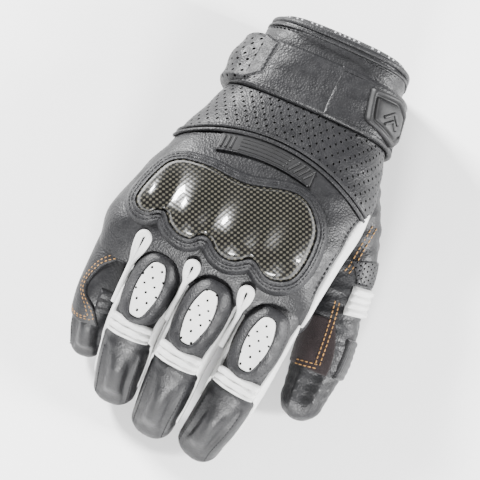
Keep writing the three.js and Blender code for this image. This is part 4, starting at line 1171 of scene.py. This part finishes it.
# little finger: the slider patch with a double row of gold stitches
tube, bend, tip_bend = TUBES["pinky"]
slider_hi = lambda u: 212 + 0 * u
slider_lo = curve_of((3.5, 112), (8, 100), (15.4, 68), (26, 101), (35, 119), (42, 84), (50, 62))
strip("pinky_slider_patch", tube.wrap, (3.5, 50), slider_lo, slider_hi, SOFT, tall=1.5, soft=1.4, rows=70,
      cols=24, between=tip_bend, slot="black_leather", stands_for=("pinky_slider",))
for shift in (9, 19):
    pts = [(5.5 + shift * 0.06, 200), (5.5 + shift * 0.06, 150)]
    pts += [(u, slider_lo(u) + shift) for u in np.linspace(7.5, 46.5 - shift * 0.05, 20)]
    pts += [(48.3 - shift * 0.08, 100 + shift), (48.3 - shift * 0.08, 150), (48.3 - shift * 0.08, 200)]
    stitches(f"pinky_slider_gold_{shift}", [on(tube.wrap, pts, 1.45)], GOLD, pitch=2.1, length=1.6,
             thick=0.3, between=tip_bend, slot="black_leather")
strip("pinky_stretch_ribs", tube.wrap, (bend - 5, bend + 4.5), lambda u: 30 + 0 * u, lambda u: 84 + 0 * u,
      SOFT, tall=1.2, soft=1.0, rows=40, cols=16, between=tip_bend, slot="black_leather",
      extra=lambda u, v, p, q: 0.5 * np.abs(np.sin(math.pi * 3 * (u - bend + 5) / 9.5)))

# ---------------------------------------------------------------- thumb
root, joint = vec(43, 36, 26), vec(53.5, -4, 20)
along = THUMB.frame(0.0)[1]
swing = ("hand", "thumb_base", root + vec(0, 8, 0), root - vec(0, 10, 0))
thumb_bend = ("thumb_base", "thumb_tip", joint - along * 8, joint + along * 8)
turn = np.linspace(0, 360, 73)[:-1]
first, mid = THUMB.row_s[0] + 1, -19.0
s = np.concatenate([np.linspace(first, mid - 0.8, 44), [mid, mid + 0.5]])
U, V = s[:, None] + 0 * turn, turn[None] + 0 * s[:, None]
folds = 0.5 * np.sin(0.32 * U + 0.03 * V) * np.sin(0.04 * V + 1) + 0.3 * np.sin(0.7 * U - 0.05 * V)
patch("thumb_base_leather", THUMB.wrap, U, V, folds - 0.9 * step(U, mid, mid + 0.5), BLACK, close_cols=True,
      cull=inside_hand, between=swing, slot="black_leather", stands_for=("thumb_base_shell",))
end = THUMB.end
s = np.concatenate([np.linspace(mid - 0.8, end, 110),
                    end + THUMB.frame(end)[5] * np.sin(np.linspace(0.08, 1, 14) * 1.57) * 0.9999])
U, V = s[:, None] + 0 * turn, turn[None] + 0 * s[:, None]
ridge = sum(bell(V, at, 9) for at in (68, 112)) * window(U, 34, end + 7, 8) * 1.3
groove = bell(V, 90, 7) * window(U, 34, end + 6, 8) * 0.7 + bell(V, 40, 6) * window(U, 36, end + 5, 6) * 0.6
wrinkles = 0.4 * np.sin(0.5 * U + 0.04 * V) * window(U, -19, 30, 8) + 0.15 * np.sin(1.1 * U - 0.06 * V)
patch("thumb_tip_leather", THUMB.wrap, U, V, ridge - groove + wrinkles, BLACK, close_cols=True,
      between=thumb_bend, slot="black_leather", stands_for=("thumb_tip_shell",))


def thumb_uv(x, y):
    """(s, angle) of the thumb's upper side above a plan point."""
    s_try = np.linspace(THUMB.s[0], end, 500)
    at, _, right, _, wide, _ = THUMB.frame(s_try)
    rel = vec(x, y) - at[:, :2]
    side = (rel * right[:, :2]).sum(1)
    k = np.argmin(np.abs((rel * np.array([-right[:, 1], right[:, 0]]).T).sum(1)) + 0.02 * np.abs(side))
    share = np.clip(side[k] / wide[k], -0.999, 0.999)
    return s_try[k], float(np.degrees(np.arccos(sgnpow(share, POWER / 2))))


def thumb_row(points, g):
    return on(THUMB.wrap, [thumb_uv(x, y) for x, y in points], g)


upper = [(55.4, 33.8), (54.6, 27), (53.4, 18), (51.9, 9)]
rows = [thumb_row([(x + dx, y) for x, y in upper], 0.3) for dx in (-1.1, 1.1)]
stitches("thumb_base_gold", rows, GOLD, pitch=2.3, length=1.7, thick=0.3, between=swing, slot="black_leather")
strip("thumb_vent_leather", THUMB.wrap, (-19.5, -9.5), lambda u: 6 + 0 * u, lambda u: 88 - 2.0 * (u + 19.5),
      FINE_HOLES, tall=0.9, soft=1.0, rows=30, cols=26, between=swing, slot="black_leather",
      stands_for=("thumb_vent_panel",))
strip("thumb_stretch_ribs", THUMB.wrap, (-8.5, 6), lambda u: -12 + 0 * u, lambda u: 74 + 0.4 * u, WHITE,
      tall=1.5, soft=1.1, rows=80, cols=26, between=thumb_bend, slot="white_leather",
      stands_for=("thumb_accordion",),
      extra=lambda u, v, p, q: 1.1 * np.abs(np.sin(math.pi * 4 * (u + 8.5) / 14.5)) ** 0.8)
strip("thumb_suede_patch", THUMB.wrap, (9.5, 36.5), lambda u: 84 - 0.9 * (u - 9) + 0.03 * (u - 22) ** 2,
      lambda u: 168 + 0 * u, SUEDE, tall=1.0, soft=1.2, rows=50, cols=30, between=thumb_bend,
      slot="black_leather", stands_for=("thumb_patch",))
corner = [(53.5, -4.7), (55, -14.7), (56.1, -24.5), (56.8, -33), (57.2, -36.2)]
rows = [thumb_row([(x + dx, y) for x, y in corner], 1.15) for dx in (-0.9, 1.1)]
across = [(57.5, -36.9), (52.5, -37.8), (47.5, -38.6)]
rows += [thumb_row([(x, y + dy) for x, y in across], 1.1) for dy in (0.9, -1.1)]
stitches("thumb_patch_gold", rows, GOLD, pitch=2.2, length=1.7, thick=0.3, between=thumb_bend,
         slot="black_leather")
strip("thumb_knit_panel", THUMB.wrap, (17, 36), lambda u: -30 + 0 * u, lambda u: 50 - 0.02 * (u - 26) ** 2,
      KNIT, tall=1.2, soft=1.2, rows=40, cols=26, between=thumb_bend, slot="knit_and_hook",
      stands_for=("thumb_stretch_panel",), extra=lambda u, v, p, q: 0.35 * np.abs(np.sin(p * 0.9)))
strip("thumb_grip", THUMB.wrap, (14, end + 5), lambda u: 270 - 42 + 0 * u, lambda u: 270 + 38 + 0 * u,
      SUEDE, tall=0.9, soft=1.3, rows=50, cols=20, between=thumb_bend, slot="black_leather")

# ---------------------------------------------------------------- floor, light and camera
floor_mesh = bpy.data.meshes.new("floor")
FLOOR = 2.2
floor_mesh.from_pydata([(-FLOOR, -FLOOR, 0), (FLOOR, -FLOOR, 0), (FLOOR, FLOOR, 0), (-FLOOR, FLOOR, 0)], [],
                       [(0, 1, 2, 3)])
floor = bpy.data.objects.new("floor", floor_mesh)
bpy.context.scene.collection.objects.link(floor)
paper = Look("floor_paper", (0.93, 0.93, 0.93), 0.9)
paper.paint(paper.ramp(paper.noise(18.0, 2.0), (0.2, (0.92, 0.92, 0.92)), (0.8, (0.95, 0.95, 0.95))))
floor_mesh.materials.append(paper.mat)

world = bpy.data.worlds.new("studio")
bpy.context.scene.world = world
world.use_nodes = True
world.node_tree.nodes["Background"].inputs["Color"].default_value = (1, 1, 1, 1)
world.node_tree.nodes["Background"].inputs["Strength"].default_value = 0.44
target = placed((0, 0, 45))


def lamp(name, place, size, power, size_y=None):
    light = bpy.data.lights.new(name, "AREA")
    light.shape = "RECTANGLE"
    light.size = size
    light.size_y = size_y or size
    light.energy = power
    obj = bpy.data.objects.new(name, light)
    bpy.context.scene.collection.objects.link(obj)
    obj.location = Vector(place)
    obj.rotation_mode = "QUATERNION"
    obj.rotation_quaternion = (Vector(target) - obj.location).to_track_quat("-Z", "Y")


lamp("key_softbox", (-1.0, 0.55, 0.7), 0.26, 76.0)
lamp("right_strip", (1.05, 0.1, 0.5), 0.14, 42.0, size_y=0.45)
lamp("front_fill", (0.15, -1.15, 0.6), 0.3, 40.0)

camera = bpy.data.objects.new("camera", bpy.data.cameras.new("camera"))
bpy.context.scene.collection.objects.link(camera)
azimuth, elevation, distance = math.radians(24), math.radians(80), 1.0
back = Vector((math.sin(azimuth) * math.cos(elevation), -math.cos(azimuth) * math.cos(elevation),
               math.sin(elevation)))
camera.rotation_mode = "QUATERNION"
camera.rotation_quaternion = (-back).to_track_quat("-Z", "Y")
camera.location = Vector(placed((0, 0, 40))) + back * distance
camera.data.sensor_width = 36.0
camera.data.lens = 157.9
camera.data.clip_start, camera.data.clip_end = 0.05, 10.0
bpy.context.scene.camera = camera
